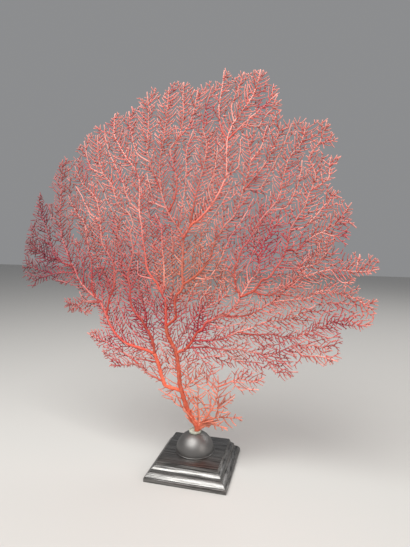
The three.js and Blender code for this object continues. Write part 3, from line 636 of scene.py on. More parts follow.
back = math.floor(FILL_GAP * FILL_ROOT / SAMPLE + 0.5)
queue = list(front)
for index, parent in enumerate(queue):
    points = parent["points"]
    for i in range(back + 1, len(points) - 1, 2):
        for side in (1, -1):
            along = (points[i + 1][0] - points[i - 1][0], points[i + 1][1] - points[i - 1][1])
            length = math.hypot(*along)
            outward = (-along[1] / length * side, along[0] / length * side)
            seed = (points[i][0] + outward[0] * FILL_GAP, points[i][1] + outward[1] * FILL_GAP)
            if not inside_outline(*seed) or taken.nearest(*seed, FILL_GAP) < FILL_GAP * FILL_CLEAR:
                continue
            grown = grow_filling(points[i - back], seed, outward, along, index)
            if not grown:
                continue
            radius = max(TIP_RADIUS, FILL_SHARE * radius_at(parent, i - back))
            taken.add(grown)
            filling = {"limb": parent["limb"], "from": radius, "to": TIP_RADIUS, "behind": 0,
                       "traced": False, "points": grown}
            queue.append(filling)
            ribs.append(filling)
print("ribs in all", len(ribs))

# %% [markdown]
# Round the foot the real colony is a coarse net: short stout ribs cross from one main rib to the
# next and have grown together where they met. The rules above would comb them all one way,
# so these few are listed one by one.

# %% The net round the foot
NET = {
  "stem": [
    rib(1.8, 1.0, [(1.5, 59), (-5, 66), (-11, 71), (-15, 78), (-18, 88)]),
    rib(1.3, 0.9, [(-18, 108), (-9, 95), (2.5, 84), (4, 73), (3, 62)]),
    rib(1.1, 0.9, [(-14, 84), (-5, 80), (3, 84), (12, 87), (20, 86)]),
    rib(1.0, 0.8, [(-21, 118), (-11, 112), (1, 108)]),
    rib(0.9, 0.8, [(-9, 95), (-3, 101), (2, 101), (7, 98), (12, 87), (18, 77)]),
    rib(0.9, 0.7, [(-24, 136), (-13, 128), (-4, 121), (3, 116), (14, 112), (27, 104)]),
    rib(1.8, 0.8, [(1, 57), (-4, 62), (-9, 65), (-12, 70)]),
    rib(1.8, 0.9, [(1, 57), (1, 63), (-1, 68), (-4, 73)]),
    rib(1.6, 0.8, [(1, 58), (4, 63), (5, 69), (4, 74)]),
    rib(1.2, 0.8, [(-3, 62), (-4, 68), (-8, 74)]),
    rib(1.1, 0.8, [(-6, 68), (-11, 68), (-15, 71)]),
    rib(1.1, 0.8, [(-11, 77), (-17, 78), (-20, 82)]),
    rib(1.3, 0.9, [(-5, 68), (1, 66), (6, 66), (12, 67), (18, 66)]),
    rib(1.2, 0.9, [(-10, 77), (-4, 73), (3, 73), (8, 74), (12, 75)]),
    rib(1.3, 0.9, [(-4, 63), (-8, 64), (-11, 67)]),
    rib(1.2, 0.8, [(-9, 70), (-14, 70), (-16, 73)]),
  ],
  "low-right-spray": [
    rib(1.9, 1.0, [(2, 59), (8, 63), (18, 69), (27, 75), (29, 84), (30, 92), (26, 103)]),
    rib(1.2, 0.8, [(-4, 66), (6, 66), (14, 68), (24, 67), (33, 70)]),
    rib(1.0, 0.7, [(29, 84), (36, 83), (45, 85)]),
    rib(1.0, 0.7, [(30, 92), (38, 97), (45, 104), (53, 110)]),
    rib(0.9, 0.7, [(30, 112), (22, 122), (12, 129), (3, 136)]),
    rib(1.8, 0.8, [(2, 57), (7, 60), (12, 61), (18, 60)]),
    rib(1.5, 0.8, [(3, 58), (8, 64), (12, 67), (17, 69)]),
    rib(1.2, 0.8, [(10, 61), (13, 65), (19, 66)]),
    rib(2.1, 1.1, [(2, 56), (6, 60), (9, 66), (12, 74), (14, 82)]),
    rib(2.0, 1.0, [(3, 56), (8, 59), (13, 63), (18, 66), (24, 72)]),
    rib(1.5, 0.9, [(4, 57), (10, 59), (15, 63), (20, 63)]),
  ],
}
ribs += trace_ribs(NET)
print("with the net", len(ribs))

# %% [markdown]
# The fan isn't quite flat. It has shallow waves, its left lobe curls back and its right edge
# leans forward. Its outline is known from one side, so a place that lies behind the middle
# plane is also moved along the line of sight, and the outline stays as it was seen. Everything
# that grows is a little crooked too, which a sum of unlike waves gives.

# %% The fan's sheet
FAN_X = 2              # the fan's own origin, seen from the middle of the plinth
FAN_Z = -2
# The camera as the fan sees it.
EYE_MM = [round(EYE.x / MM) - FAN_X, round(EYE.y / MM), round(EYE.z / MM) - FAN_Z]
LOBE_EDGE = -185
LOBE_CURL = 0.0060
LOBE_RUN = 74          # the curl grows over this run and the last of the lobe is straight
RIGHT_EDGE = 150
RIGHT_LEAN = 0.003
WAVE = 3.5
WAVE_START = 0.8
WAVE_LENGTH = 150
WAVE_HEIGHT = 240
FLAT_BELOW = 70
LAYER_RUN = 24         # a spray behind the sheet gets there over this run
CROOKED = 0.25
CROOKED_FROM = 56      # the cut foot is straight, and all above the second height is crooked
CROOKED_ABOVE = 76


def fade(value, low, high):
    t = min(1, max(0, (value - low) / (high - low)))
    return t * t * (3 - 2 * t)


def crooked(x, z):
    share = CROOKED * fade(z, CROOKED_FROM, CROOKED_ABOVE)
    sideways = 0.7 * math.sin(0.62 * z + 1.7 * math.sin(0.21 * x)) + 0.45 * math.sin(1.27 * z + 0.8 * x)
    upwards = 0.7 * math.sin(0.58 * x + 1.5 * math.sin(0.24 * z)) + 0.45 * math.sin(1.19 * x - 0.9 * z)
    return x + share * sideways, z + share * upwards


def place(x, z, behind):
    """The place in the room, in metres, of a point on the fan's plane."""
    x, z = crooked(x, z)
    curl = LOBE_CURL * min(LOBE_RUN, max(0, LOBE_EDGE - x)) ** 2
    curl -= RIGHT_LEAN * max(0, x - RIGHT_EDGE) ** 2
    wave = WAVE * math.sin(2 * math.pi * x / WAVE_LENGTH + WAVE_START)
    wave *= math.cos(2 * math.pi * z / WAVE_HEIGHT)
    y = curl + wave * fade(z, FLAT_BELOW, 2 * FLAT_BELOW) + behind
    scale = (y - EYE_MM[1]) / -EYE_MM[1]
    return ((FAN_X + EYE_MM[0] + (x - EYE_MM[0]) * scale) * MM, y * MM,
            (FAN_Z + EYE_MM[2] + (z - EYE_MM[2]) * scale) * MM)


for entry in ribs:
    entry["depths"] = [entry["behind"] * fade(i * SAMPLE, 0, LAYER_RUN) for i in range(len(entry["points"]))]
print("fan from", place(*min(OUTLINE), 0), "to", place(*max(OUTLINE), 0))

# %% [markdown]
# Every rib carries two rows of twigs, one on each side, and the longer twigs carry twigs of
# their own. A twig leaves at a wide angle, bends slowly towards the direction of growth,
# and stops just short of what is in its way. That is how the real colony fills its sheet so
# evenly, and why its twigs are short in narrow gaps and long in wide ones.

# %% The growth of one twig
MAIN_RIB, FILLING_RIB, TWIG, SIDE_TWIG = range(4)
TWIG_STEP = 1
TWIG_TURN = 0.04       # share of the direction of growth in each step of a twig
TURNS_BACK = -0.2      # a twig that heads back more than this keeps to its own side
LOOK_AHEAD = 0.6       # how far in front of its tip it feels for neighbours
OWN_STEPS = 4          # this near its root a twig takes no notice of what carries it
RIM_STEPS = 2          # a twig may run this many steps past the outline
GRID = 6               # directions are worked out once for each square of this size
flow_grid = {}
branches = [{**entry, "step": SAMPLE, "order": MAIN_RIB if entry["traced"] else FILLING_RIB}
            for entry in ribs]


def growth_at(x, z):
    key = (round(x / GRID), round(z / GRID))
    if key not in flow_grid:
        flow_grid[key] = flow(key[0] * GRID, key[1] * GRID, (0, 1))
    return flow_grid[key]


def grow_twig(x, z, u, v, longest, clear, parent, space):
    path = [(x, z)]
    past_rim = 0
    while (len(path) - 1) * TWIG_STEP < longest:
        a, b = growth_at(x, z)
        if a * u + b * v < TURNS_BACK:
            a, b = -a, -b
        u, v = (1 - TWIG_TURN) * u + TWIG_TURN * a, (1 - TWIG_TURN) * v + TWIG_TURN * b
        length = math.hypot(u, v)
        u, v = u / length, v / length
        x, z = x + u * TWIG_STEP, z + v * TWIG_STEP
        skip = parent if len(path) < OWN_STEPS else None
        past_rim += not inside_outline(x, z)
        near = space.nearest(x + LOOK_AHEAD * u, z + LOOK_AHEAD * v, clear, skip)
        if past_rim > RIM_STEPS or near < clear:
            break
        path.append((x, z))
    return path


print("branches that carry twigs", len(branches))

# %% [markdown]
# One function makes a pass of twigs along a list of parents. Chance decides each angle and
# length, and whether a twig stops short of its neighbour or runs on until the two touch. Near
# the foot they all touch and stand further apart, because the fan is a net there.

# %% A pass of twigs
JOINING = 0.35         # share of the twigs that run on until they touch a neighbour
TOUCH = 1.2            # distance between the middles of two twigs that touch
NET_BELOW = 128        # below this height all of them do
NET_SPACING = 2.1      # and they stand this much further apart
FIRST_TWIG = 0.6       # place of the first one, as a share of the spacing
REACH_RANGE = (0.75, 1.25)
BARE_TIP = 5           # the last of every rib is a bare finger
chance = random.Random(7)


def add_twigs(parents, space, spacing, longest, clear, shortest, angles, tilt, order):
    """One pass of twigs, in turn to the left and right along each of the parents."""
    first = len(branches)
    for count, parent in enumerate(parents):
        points, depths = branches[parent]["points"], branches[parent]["depths"]
        step = branches[parent]["step"]
        run = spacing * FIRST_TWIG + chance.random()
        side = 1 if count % 2 else -1
        if points[0][1] < NET_BELOW and order == SIDE_TWIG:
            continue
        for i in range(1, len(points)):
            if order == TWIG and (len(points) - 1 - i) * step < BARE_TIP:
                break
            apart = spacing / 2 * (NET_SPACING if points[i][1] < NET_BELOW else 1)
            run += step
            if run < apart:
                continue
            run -= apart
            side = -side
            (ax, az), (bx, bz) = points[i - 1], points[i]
            length = math.hypot(bx - ax, bz - az) or 1
            u, v = (bx - ax) / length, (bz - az) / length
            turn = side * math.radians(chance.uniform(*angles))
            du = u * math.cos(turn) - v * math.sin(turn)
            dv = u * math.sin(turn) + v * math.cos(turn)
            reach = longest * chance.uniform(*REACH_RANGE)
            lean = chance.uniform(*tilt) * chance.choice((-1, 1))
            keep_off = TOUCH if chance.random() < JOINING or bz < NET_BELOW else clear
            path = grow_twig(bx - u * run, bz - v * run, du, dv, reach, keep_off, parent, space)
            if (len(path) - 1) * TWIG_STEP < shortest:
                continue
            space.add(path[1:], len(branches))
            branches.append({
                "limb": branches[parent]["limb"], "points": path, "step": TWIG_STEP, "order": order,
                "depths": [depths[i] + lean * k * TWIG_STEP for k in range(len(path))],
            })
    return range(first, len(branches))


print("a net below", NET_BELOW, "mm")

# %% [markdown]
# The ribs are entered as taken places first. Those that run behind the sheet have a space of
# their own, so that they and the front ones don't stop each other's twigs. Then come a pass along
# the front ribs, one along its longer twigs and one along the ribs behind. Lengths are in
# millimetres, angles in degrees, and the tilt is the slope at which a twig leans off the sheet.

# %% Twigs in the sheet
LONG_TWIG = 11         # only a twig with more points than this carries twigs of its own

front_space = Taken()
back_space = Taken()
for number, entry in enumerate(branches):
    space = back_space if entry["behind"] else front_space
    doubled = [mix(a, b, t) for a, b in zip(entry["points"], entry["points"][1:]) for t in (0, 0.5)]
    space.add(doubled, number)
front_ribs = [n for n, entry in enumerate(branches) if not entry["behind"]]
back_ribs = [n for n, entry in enumerate(branches) if entry["behind"]]

row_twigs = add_twigs(front_ribs, front_space, spacing=4.8, longest=20, clear=2.3, shortest=2.5,
                      angles=(60, 74), tilt=(0, 0.1), order=TWIG)
long_twigs = [n for n in row_twigs if len(branches[n]["points"]) > LONG_TWIG]
side_twigs = add_twigs(long_twigs, front_space, spacing=9, longest=7, clear=2.3, shortest=3,
                       angles=(46, 62), tilt=(0, 0.18), order=SIDE_TWIG)
back_twigs = add_twigs(back_ribs, back_space, spacing=5.2, longest=18, clear=2.5, shortest=3,
                       angles=(58, 72), tilt=(0, 0.12), order=TWIG)
print("twigs", len(row_twigs), len(side_twigs), len(back_twigs))

# %% [markdown]
# In places the sheet is two or three twigs thick. A last pass grows looser twigs that take no
# notice of the first ones, only of each other, and that lean out to the front and the back.

# %% Twigs that stand off the sheet
loose_space = Taken()
loose_twigs = add_twigs(front_ribs, loose_space, spacing=20, longest=20, clear=3, shortest=5,
                        angles=(28, 48), tilt=(0.15, 0.5), order=TWIG)
loose_sides = add_twigs(loose_twigs, loose_space, spacing=7.5, longest=9, clear=2.9, shortest=3,
                        angles=(48, 66), tilt=(0, 0.2), order=SIDE_TWIG)
print("loose twigs", len(loose_twigs), len(loose_sides))

# %% [markdown]
# Each rib and twig becomes a thin closed tube. Rings of corners are set square to its
# path, each ring a little thicker or thinner than the last, because the skin of the living
# colony is knobbly. The root ring of a twig is wide, so it flares into the rib that carries it,
# and the tip ends in a blunt point. All the tubes of one limb are joined in one mesh, which
# numpy's arrays make fast. Along the tubes run three marks for the finish to read.

# %% From paths to tubes
TIP_LENGTH = 0.7       # of the blunt point, as a share of its radius


class LimbMesh:
    def __init__(self):
        self.corners = []
        self.faces = []
        self.marks = {"paleness": [], "shade": [], "stoutness": []}
        self.count = 0

    def add_tube(self, centres, radii, sides, marks, flat_foot=False):
        centres = np.array(centres)
        ahead = np.gradient(centres, axis=0)
        if flat_foot:
            ahead[0] = (0, 0, 1)
        ahead /= np.linalg.norm(ahead, axis=1, keepdims=True)
        across = np.cross((0, 1, 0), ahead)
        across /= np.linalg.norm(across, axis=1, keepdims=True)
        outward = np.cross(ahead, across)
        turns = 2 * math.pi * np.arange(sides) / sides
        spokes = (np.cos(turns)[None, :, None] * across[:, None, :]
                  + np.sin(turns)[None, :, None] * outward[:, None, :])
        rings = centres[:, None, :] + spokes * (np.array(radii) * MM)[:, :, None]
        tip = centres[-1] + ahead[-1] * float(np.mean(radii[-1])) * MM * TIP_LENGTH
        self.corners.append(rings.reshape(-1, 3))
        self.corners.append(tip[None, :])
        start, rows = self.count, len(centres)
        self.faces.append(tuple(start + k for k in reversed(range(sides))))
        for row in range(rows - 1):
            low = start + row * sides
            for k in range(sides):
                following = (k + 1) % sides
                self.faces.append((low + k, low + following, low + sides + following, low + sides + k))
        last = start + (rows - 1) * sides
        for k in range(sides):
            self.faces.append((last + k, last + (k + 1) % sides, start + rows * sides))
        for name, values in marks.items():
            self.marks[name].extend(np.repeat(values, sides))
            self.marks[name].append(values[-1])
        self.count += rows * sides + 1

    def to_object(self, name):
        mesh = bpy.data.meshes.new(name)
        mesh.from_pydata(np.concatenate(self.corners), [], self.faces)
        for mark, values in self.marks.items():
            attribute = mesh.attributes.new(mark, "FLOAT", "POINT")
            attribute.data.foreach_set("value", np.array(values, dtype=np.float32))
        mesh.polygons.foreach_set("use_smooth", [True] * len(mesh.polygons))
        mesh.update()
        piece = bpy.data.objects.new(name, mesh)
        bpy.context.scene.collection.objects.link(piece)
        return piece


limb_meshes = {limb: LimbMesh() for limb in LIMBS}
print("limbs", len(limb_meshes))

# %% [markdown]
# A main rib is stout at its root, grows thin fast and then runs on at nearly one width. The two
# stems that carry others stay stout to their ends. The stem itself is the stoutest piece. It
# stands on a flat cut foot that swells a little, as the real holdfast does where it was sawn off,
# and shallow grooves run up it and up the stout limbs.

# %% Ribs
FOOT_X = 0.9
FOOT_STRAIGHT = 3      # the stem stands upright this far from its foot
STEM_SAMPLE = 0.75 * SAMPLE
FOOT_RADIUS = 3.4      # radii in millimetres
FOOT_HEIGHT = 6
FOOT_SWELL = 0.5
SWELL_HEIGHT = 2
SWELL_SPREAD = 3
STOUT = 1.4            # a rib with a larger root than this is a stout limb
STAYS_STOUT = 2        # and one with a larger end than this stays stout
LIMB_SHARE = 0.86      # a stout limb is drawn at this share of its listed radius
FILL_RADIUS = 1.0
RIB_TIP = 0.80
TAPER = 1.8
STEM_SIDES, LIMB_SIDES, RIB_SIDES, FILL_SIDES = 14, 9, 7, 6
RIB_KNOBBLY = 0.07
LONG_SWELL = (0.07, 0.9)    # share of the radius, and how fast it comes and goes
SHORT_SWELL = (0.04, 2.3)
GROOVES = 3
GROOVE_DEPTH = 0.05
GROOVE_TWIST = 0.2
PALE_ROOT = 0.15       # paleness at the root of a main rib
PALE_RISE = 2.2        # it is fully pale after one part in so many of its length
PALE_FILLING = 0.9
STOUTEST = 3           # the radius at which the mark for stoutness is full
foot_z = (collar_high[2] - COLLAR_DISH) / MM - FAN_Z
rough = random.Random(11)


def knobs(rows, sides, amount):
    return [[1 + rough.uniform(-amount, amount) for _ in range(sides)] for _ in range(rows)]


def tube_size(entry, is_stem):
    """Number of sides of a rib's tube, and its radii at the root and at the end."""
    stout = entry["from"] > STOUT
    end = entry["to"] if entry["to"] > STAYS_STOUT else RIB_TIP
    if is_stem:
        return STEM_SIDES, entry["from"], end
    if not entry["traced"]:
        return LIMB_SIDES if stout else FILL_SIDES, FILL_RADIUS, end
    if stout:
        return LIMB_SIDES, entry["from"] * LIMB_SHARE, end
    return RIB_SIDES, entry["from"], end


def add_rib(entry, mesh, is_stem):
    points, depths = entry["points"], entry["depths"]
    if is_stem:
        route = [(FOOT_X, foot_z), (FOOT_X, foot_z + FOOT_STRAIGHT), *points[::4], points[-1]]
        points = follow(route, STEM_SAMPLE)
        depths = [0] * len(points)
    sides, thick, thin = tube_size(entry, is_stem)
    taper = 1 if entry["to"] > STAYS_STOUT else TAPER
    groove_depth = GROOVE_DEPTH if entry["from"] > STOUT else 0
    phase = rough.uniform(0, 6)
    radii, paleness, stoutness = [], [], []
    for i, knob in enumerate(knobs(len(points), sides, RIB_KNOBBLY)):
        share = i / (len(points) - 1)
        radius = thin + (thick - thin) * (1 - share) ** taper
        swell = (1 + LONG_SWELL[0] * math.sin(i * LONG_SWELL[1] + phase)
                 + SHORT_SWELL[0] * math.sin(i * SHORT_SWELL[1] + 2 * phase))
        if is_stem:
            height = points[i][1] - foot_z
            radius = max(radius, FOOT_RADIUS) if height < FOOT_HEIGHT else radius
            radius += FOOT_SWELL * math.exp(-((height - SWELL_HEIGHT) / SWELL_SPREAD) ** 2)
        grooves = [1 + groove_depth * math.sin(GROOVES * 2 * math.pi * k / sides + phase + GROOVE_TWIST * i)
                   for k in range(sides)]
        radii.append([radius * swell * k * groove for k, groove in zip(knob, grooves)])
        if entry["traced"]:
            paleness.append(PALE_ROOT + (1 - PALE_ROOT) * min(1, PALE_RISE * share))
        else:
            paleness.append(PALE_FILLING + (1 - PALE_FILLING) * share)
        stoutness.append(min(1, radius / STOUTEST))
    centres = [place(*point, depth) for point, depth in zip(points, depths)]
    marks = {"paleness": paleness, "shade": [rough.random()] * len(points), "stoutness": stoutness}
    mesh.add_tube(centres, radii, sides, marks, flat_foot=is_stem)


print("cut foot at", round(foot_z + FAN_Z, 1), "mm")

# %% [markdown]
# A twig is so fine that five sides and a ring at every second point are enough. There are
# thousands of them, so each side more would cost a good many triangles.

# %% Twigs
TWIG_SIDES = 5
TWIG_RINGS = 2         # a ring at one point in so many
TWIG_ROOT = 0.70
TWIG_TIP = 0.52
TWIG_RANGE = (0.88, 1.15)
TWIG_KNOBBLY = 0.13
FLARE = 1.5
NET_STOUTER = 0.3      # twigs near the foot are thicker by this share
NET_STOUT_BELOW = 80
TWIG_PALE = 0.4        # paleness at the root of a twig, and how much the tip is paler
TWIG_PALER = 0.5


def add_twig(entry, mesh):
    points, depths = entry["points"], entry["depths"]
    length = len(points) - 1
    kept = [*range(0, length, TWIG_RINGS), length]
    near_foot = 1 - fade(points[0][1], NET_STOUT_BELOW, NET_BELOW)
    thick = rough.uniform(*TWIG_RANGE) * (1 + NET_STOUTER * near_foot)
    radii = []
    for i, knob in zip(kept, knobs(len(kept), TWIG_SIDES, TWIG_KNOBBLY)):
        radius = thick * (TWIG_ROOT + (TWIG_TIP - TWIG_ROOT) * i / length)
        radii.append([radius * k for k in knob])
    radii[0] = [r * FLARE for r in radii[0]]
    centres = [place(*points[i], depths[i]) for i in kept]
    marks = {"paleness": [TWIG_PALE + TWIG_PALER * i / length for i in kept],
             "shade": [rough.random()] * len(kept), "stoutness": [0.0] * len(kept)}
    mesh.add_tube(centres, radii, TWIG_SIDES, marks)


for entry in branches:
    mesh = limb_meshes[entry["limb"]]
    if entry["order"] < TWIG:
        add_rib(entry, mesh, is_stem=entry is branches[0])
    else:
        add_twig(entry, mesh)

limb_pieces = {limb: mesh.to_object(limb + "-twigs") for limb, mesh in limb_meshes.items()}
triangles = {limb: sum(len(polygon.vertices) - 2 for polygon in piece.data.polygons)
             for limb, piece in limb_pieces.items()}
print("coral triangles", sum(triangles.values()), triangles)

# %% [markdown]
# The finishes are node materials that read the place in the piece's own space, so a pattern
# stays put on its piece from every side. Small helpers make one node each and link it.

# %% Helpers for finishes


def new_finish(name):
    finish = bpy.data.materials.new(name)
    finish.use_nodes = True
    tree = finish.node_tree
    tree.nodes.clear()
    output = tree.nodes.new("ShaderNodeOutputMaterial")
    shader = tree.nodes.new("ShaderNodeBsdfPrincipled")
    tree.links.new(shader.outputs["BSDF"], output.inputs["Surface"])
    return finish, tree, shader


def object_place(tree, scale=(1, 1, 1)):
    """Object coordinates, stretched by scale."""
    coordinates = tree.nodes.new("ShaderNodeTexCoord")
    mapping = tree.nodes.new("ShaderNodeMapping")
    mapping.inputs["Scale"].default_value = scale
    tree.links.new(coordinates.outputs["Object"], mapping.inputs["Vector"])
    return mapping.outputs["Vector"]


def noise(tree, spot, scale, detail=4, roughness=0.55):
    node = tree.nodes.new("ShaderNodeTexNoise")
    node.inputs["Scale"].default_value = scale
    node.inputs["Detail"].default_value = detail
    node.inputs["Roughness"].default_value = roughness
    tree.links.new(spot, node.inputs["Vector"])
    return node.outputs["Fac"]


def ramp(tree, value, stops):
    """A colour ramp, with stops as pairs of place and colour."""
    node = tree.nodes.new("ShaderNodeValToRGB")
    elements = node.color_ramp.elements
    while len(elements) < len(stops):
        elements.new(0.5)
    for element, (position, colour) in zip(elements, stops):
        element.position = position
        element.color = (*colour, 1)
    tree.links.new(value, node.inputs["Fac"])
    return node.outputs["Color"]


def rescale(tree, value, start, end):
    """The value, moved from one pair of limits to another."""
    node = tree.nodes.new("ShaderNodeMapRange")
    node.inputs["From Min"].default_value, node.inputs["From Max"].default_value = start
    node.inputs["To Min"].default_value, node.inputs["To Max"].default_value = end
    tree.links.new(value, node.inputs["Value"])
    return node.outputs["Result"]


def blend(tree, share, first, second, how="MIX"):
    """The first colour, with this share of the second mixed in."""
    node = tree.nodes.new("ShaderNodeMix")
    node.data_type = "RGBA"
    node.blend_type = how
    for key, value in (("Factor", share), ("A", first), ("B", second)):
        socket = next(s for s in node.inputs if s.name == key and s.enabled)
        if isinstance(value, bpy.types.NodeSocket):
            tree.links.new(value, socket)
        elif key == "Factor":
            socket.default_value = value
        else:
            socket.default_value = (*value, 1)
    return next(s for s in node.outputs if s.enabled)


def multiply(tree, a, b):
    node = tree.nodes.new("ShaderNodeMath")
    node.operation = "MULTIPLY"
    tree.links.new(a, node.inputs[0])
    if isinstance(b, bpy.types.NodeSocket):
        tree.links.new(b, node.inputs[1])
    else:
        node.inputs[1].default_value = b
    return node.outputs["Value"]


def distance(tree, spot, centre):
    node = tree.nodes.new("ShaderNodeVectorMath")
    node.operation = "DISTANCE"
    tree.links.new(spot, node.inputs[0])
    node.inputs[1].default_value = centre
    return node.outputs["Value"]


def separate(tree, vector, axis):
    node = tree.nodes.new("ShaderNodeSeparateXYZ")
    tree.links.new(vector, node.inputs["Vector"])
    return node.outputs[axis]


def attribute(tree, name):
    node = tree.nodes.new("ShaderNodeAttribute")
    node.attribute_name = name
    return node.outputs["Fac"]


def bump(tree, shader, height, strength, depth):
    node = tree.nodes.new("ShaderNodeBump")
    node.inputs["Strength"].default_value = strength
    node.inputs["Distance"].default_value = depth
    tree.links.new(height, node.inputs["Height"])
    tree.links.new(node.outputs["Normal"], shader.inputs["Normal"])


print("finish helpers ready")

# %% [markdown]
# The colony is dyed by its own skeleton grains: deep red where a main rib starts, soon paler
# along it, and pink at the tips. It is more crimson in some zones, and peach and orange near the
# foot and on the stout limbs. The left lobe is darker and duskier, partly its own dusky tone and
# partly painted shade where the lobe curls back from the light. The marks along the tubes carry
# the first of these, the place in the fan the zones, and noise makes all of it uneven.

# %% Coral finish
RIB_RED = (0.56, 0.075, 0.055)
TWIG_RED = (0.54, 0.09, 0.075)
TIP_PINK = (0.80, 0.37, 0.32)
CRIMSON = (0.40, 0.012, 0.05)
# The left lobe's own dusky tone, made darker to paint the shade where it curls back from the light.
LOBE_DUSK_AND_SHADE = (0.12, 0.012, 0.04)
FOOT_ORANGE = (0.76, 0.11, 0.05)
PEACH = (0.84, 0.26, 0.15)
CORE_TAN = (0.66, 0.26, 0.15)
FOOT_PLACE = (0.003, 0, 0.06)
FOOT_REACH = (0.105, 0.02)     # distances over which the peach grows towards the foot
# Over these places across, the lobe also gets darker with painted shade.
LOBE_SHADE_REACH = (-0.14, -0.24)    # places across, over which the lobe gets dusky
# Zones of the colony in metres: place across and up, radius, and how strong the tint is.
CRIMSON_ZONES = (
    (-0.120, 0.262, 0.060, 0.65), (-0.080, 0.205, 0.055, 0.85), (0.004, 0.195, 0.046, 0.90),
    (0.088, 0.316, 0.050, 0.80), (-0.048, 0.322, 0.038, 0.50), (0.177, 0.212, 0.034, 0.75),
    (-0.215, 0.275, 0.055, 0.75), (-0.127, 0.170, 0.034, 0.60), (0.110, 0.176, 0.038, 0.55),
)
TAN_ZONE = (-0.010, 0.292, 0.065, 0.55)
ZONE_OUTER = 1.3       # a zone fades out over these shares of its radius
ZONE_INNER = 0.3


def zone(tree, spot, uneven, across, height, radius, strength):
    """A soft round patch with an uneven edge, at its full strength in the middle."""
    away = distance(tree, spot, (across, 0, height))
    near = rescale(tree, away, (radius * ZONE_OUTER, radius * ZONE_INNER), (0.0, 1.0))
    return multiply(tree, multiply(tree, near, rescale(tree, uneven, (0.3, 0.6), (0.35, 1.0))), strength)


def make_coral():
    finish, tree, shader = new_finish("coral skin")
    spot = object_place(tree)
    colour = ramp(tree, attribute(tree, "paleness"), [(0.0, RIB_RED), (0.35, TWIG_RED), (1.0, TIP_PINK)])
    uneven = noise(tree, spot, 22, 3)
    colour = blend(tree, zone(tree, spot, uneven, *TAN_ZONE), colour, CORE_TAN)
    for patch in CRIMSON_ZONES:
        colour = blend(tree, zone(tree, spot, uneven, *patch), colour, CRIMSON)
    streaks = noise(tree, object_place(tree, (1, 1, 0.6)), 30, 3)
    colour = blend(tree, rescale(tree, streaks, (0.55, 0.72), (0.0, 0.6)), colour, CRIMSON)
    near_foot = rescale(tree, distance(tree, spot, FOOT_PLACE), FOOT_REACH, (0.0, 0.75))
    colour = blend(tree, near_foot, colour, PEACH)
    flecks = noise(tree, object_place(tree, (1, 1, 0.35)), 420, 3)
    skin = blend(tree, rescale(tree, flecks, (0.45, 0.7), (0.0, 0.7)), FOOT_ORANGE, PEACH)
    orange = rescale(tree, attribute(tree, "stoutness"), (0.34, 0.8), (0.0, 0.9))
    colour = blend(tree, orange, colour, skin)
    # Painted shade with the lobe's dusky tone: darker and duskier towards the left.
    lobe = rescale(tree, separate(tree, spot, "X"), LOBE_SHADE_REACH, (0.0, 0.7))
    colour = blend(tree, lobe, colour, LOBE_DUSK_AND_SHADE)
    shade = rescale(tree, attribute(tree, "shade"), (0, 1), (0.72, 1.15))
    speckle = rescale(tree, noise(tree, spot, 900, 2), (0.3, 0.7), (0.8, 1.2))
    colour = blend(tree, 1.0, colour, multiply(tree, shade, speckle), "MULTIPLY")
    tree.links.new(colour, shader.inputs["Base Color"])
    shader.inputs["Roughness"].default_value = 0.78
    bump(tree, shader, noise(tree, spot, 1300, 2), strength=0.5, depth=0.0003)
    return finish


coral_skin = make_coral()
for piece in limb_pieces.values():
    piece.data.materials.append(coral_skin)
print("coral finish on", len(limb_pieces), "limbs")

# %% [markdown]
# The plinth is an open-grained wood, stained black and waxed. The pores run along the
# mouldings, so the noise is stretched hard along X on the front and back, and along Y on the
# sides: the face's own direction decides which. In patches, wear has rubbed the stain brown.
# The pores are dull and the wood between them shines.

# %% Blackened wood
PORE_BLACK = (0.004, 0.0035, 0.003)
WOOD_BLACK = (0.014, 0.012, 0.010)
WOOD_BROWN = (0.046, 0.038, 0.031)
WORN_BROWN = (0.075, 0.058, 0.046)
ALONG_X = (18, 640, 640)
ALONG_Y = (260, 60, 260)
WAX_IOR = 2.1          # far above real wax, because the polished slopes shine like metal


def make_wood():
    finish, tree, shader = new_finish("blackened wood")
    geometry = tree.nodes.new("ShaderNodeNewGeometry")
    sideways = tree.nodes.new("ShaderNodeMath")
    sideways.operation = "ABSOLUTE"
    tree.links.new(separate(tree, geometry.outputs["Normal"], "X"), sideways.inputs[0])
    side_share = rescale(tree, sideways.outputs["Value"], (0.25, 0.35), (0, 1))
    front_grain, side_grain = (noise(tree, object_place(tree, along), 1, 5, 0.65)
                               for along in (ALONG_X, ALONG_Y))
    grain = blend(tree, side_share, front_grain, side_grain)
    colour = ramp(tree, grain, [(0.30, PORE_BLACK), (0.50, WOOD_BLACK), (0.72, WOOD_BROWN)])
    blotches = noise(tree, object_place(tree), 45, 4)
    colour = blend(tree, rescale(tree, blotches, (0.58, 0.78), (0, 0.45)), colour, WORN_BROWN)
    tree.links.new(colour, shader.inputs["Base Color"])
    tree.links.new(rescale(tree, grain, (0.3, 0.7), (0.42, 0.24)), shader.inputs["Roughness"])
    shader.inputs["IOR"].default_value = WAX_IOR
    shine = rescale(tree, grain, (0.38, 0.56), (0.12, 0.9))
    tree.links.new(shine, shader.inputs["Specular IOR Level"])
    bump(tree, shader, grain, strength=0.8, depth=0.0002)
    return finish


plinth.data.materials.append(make_wood())
print("plinth finished")

# %% [markdown]
# The dome is turned wood too, but under many coats of dark brown lacquer, so it is smooth and
# mirrors the room softly. Fine turning lines run round it. The collar is pale and mottled.

# %% Dark lacquer and pale ring
LACQUER_DARK = (0.008, 0.006, 0.005)
LACQUER_BROWN = (0.020, 0.015, 0.012)
LACQUER_IOR = 2.6      # graphite in the lacquer makes it shine like dark metal
TURNING_LINES = (40, 40, 900)
RING_OLIVE = (0.34, 0.36, 0.29)
RING_PALE = (0.50, 0.52, 0.44)
RING_CREAM = (0.66, 0.67, 0.60)


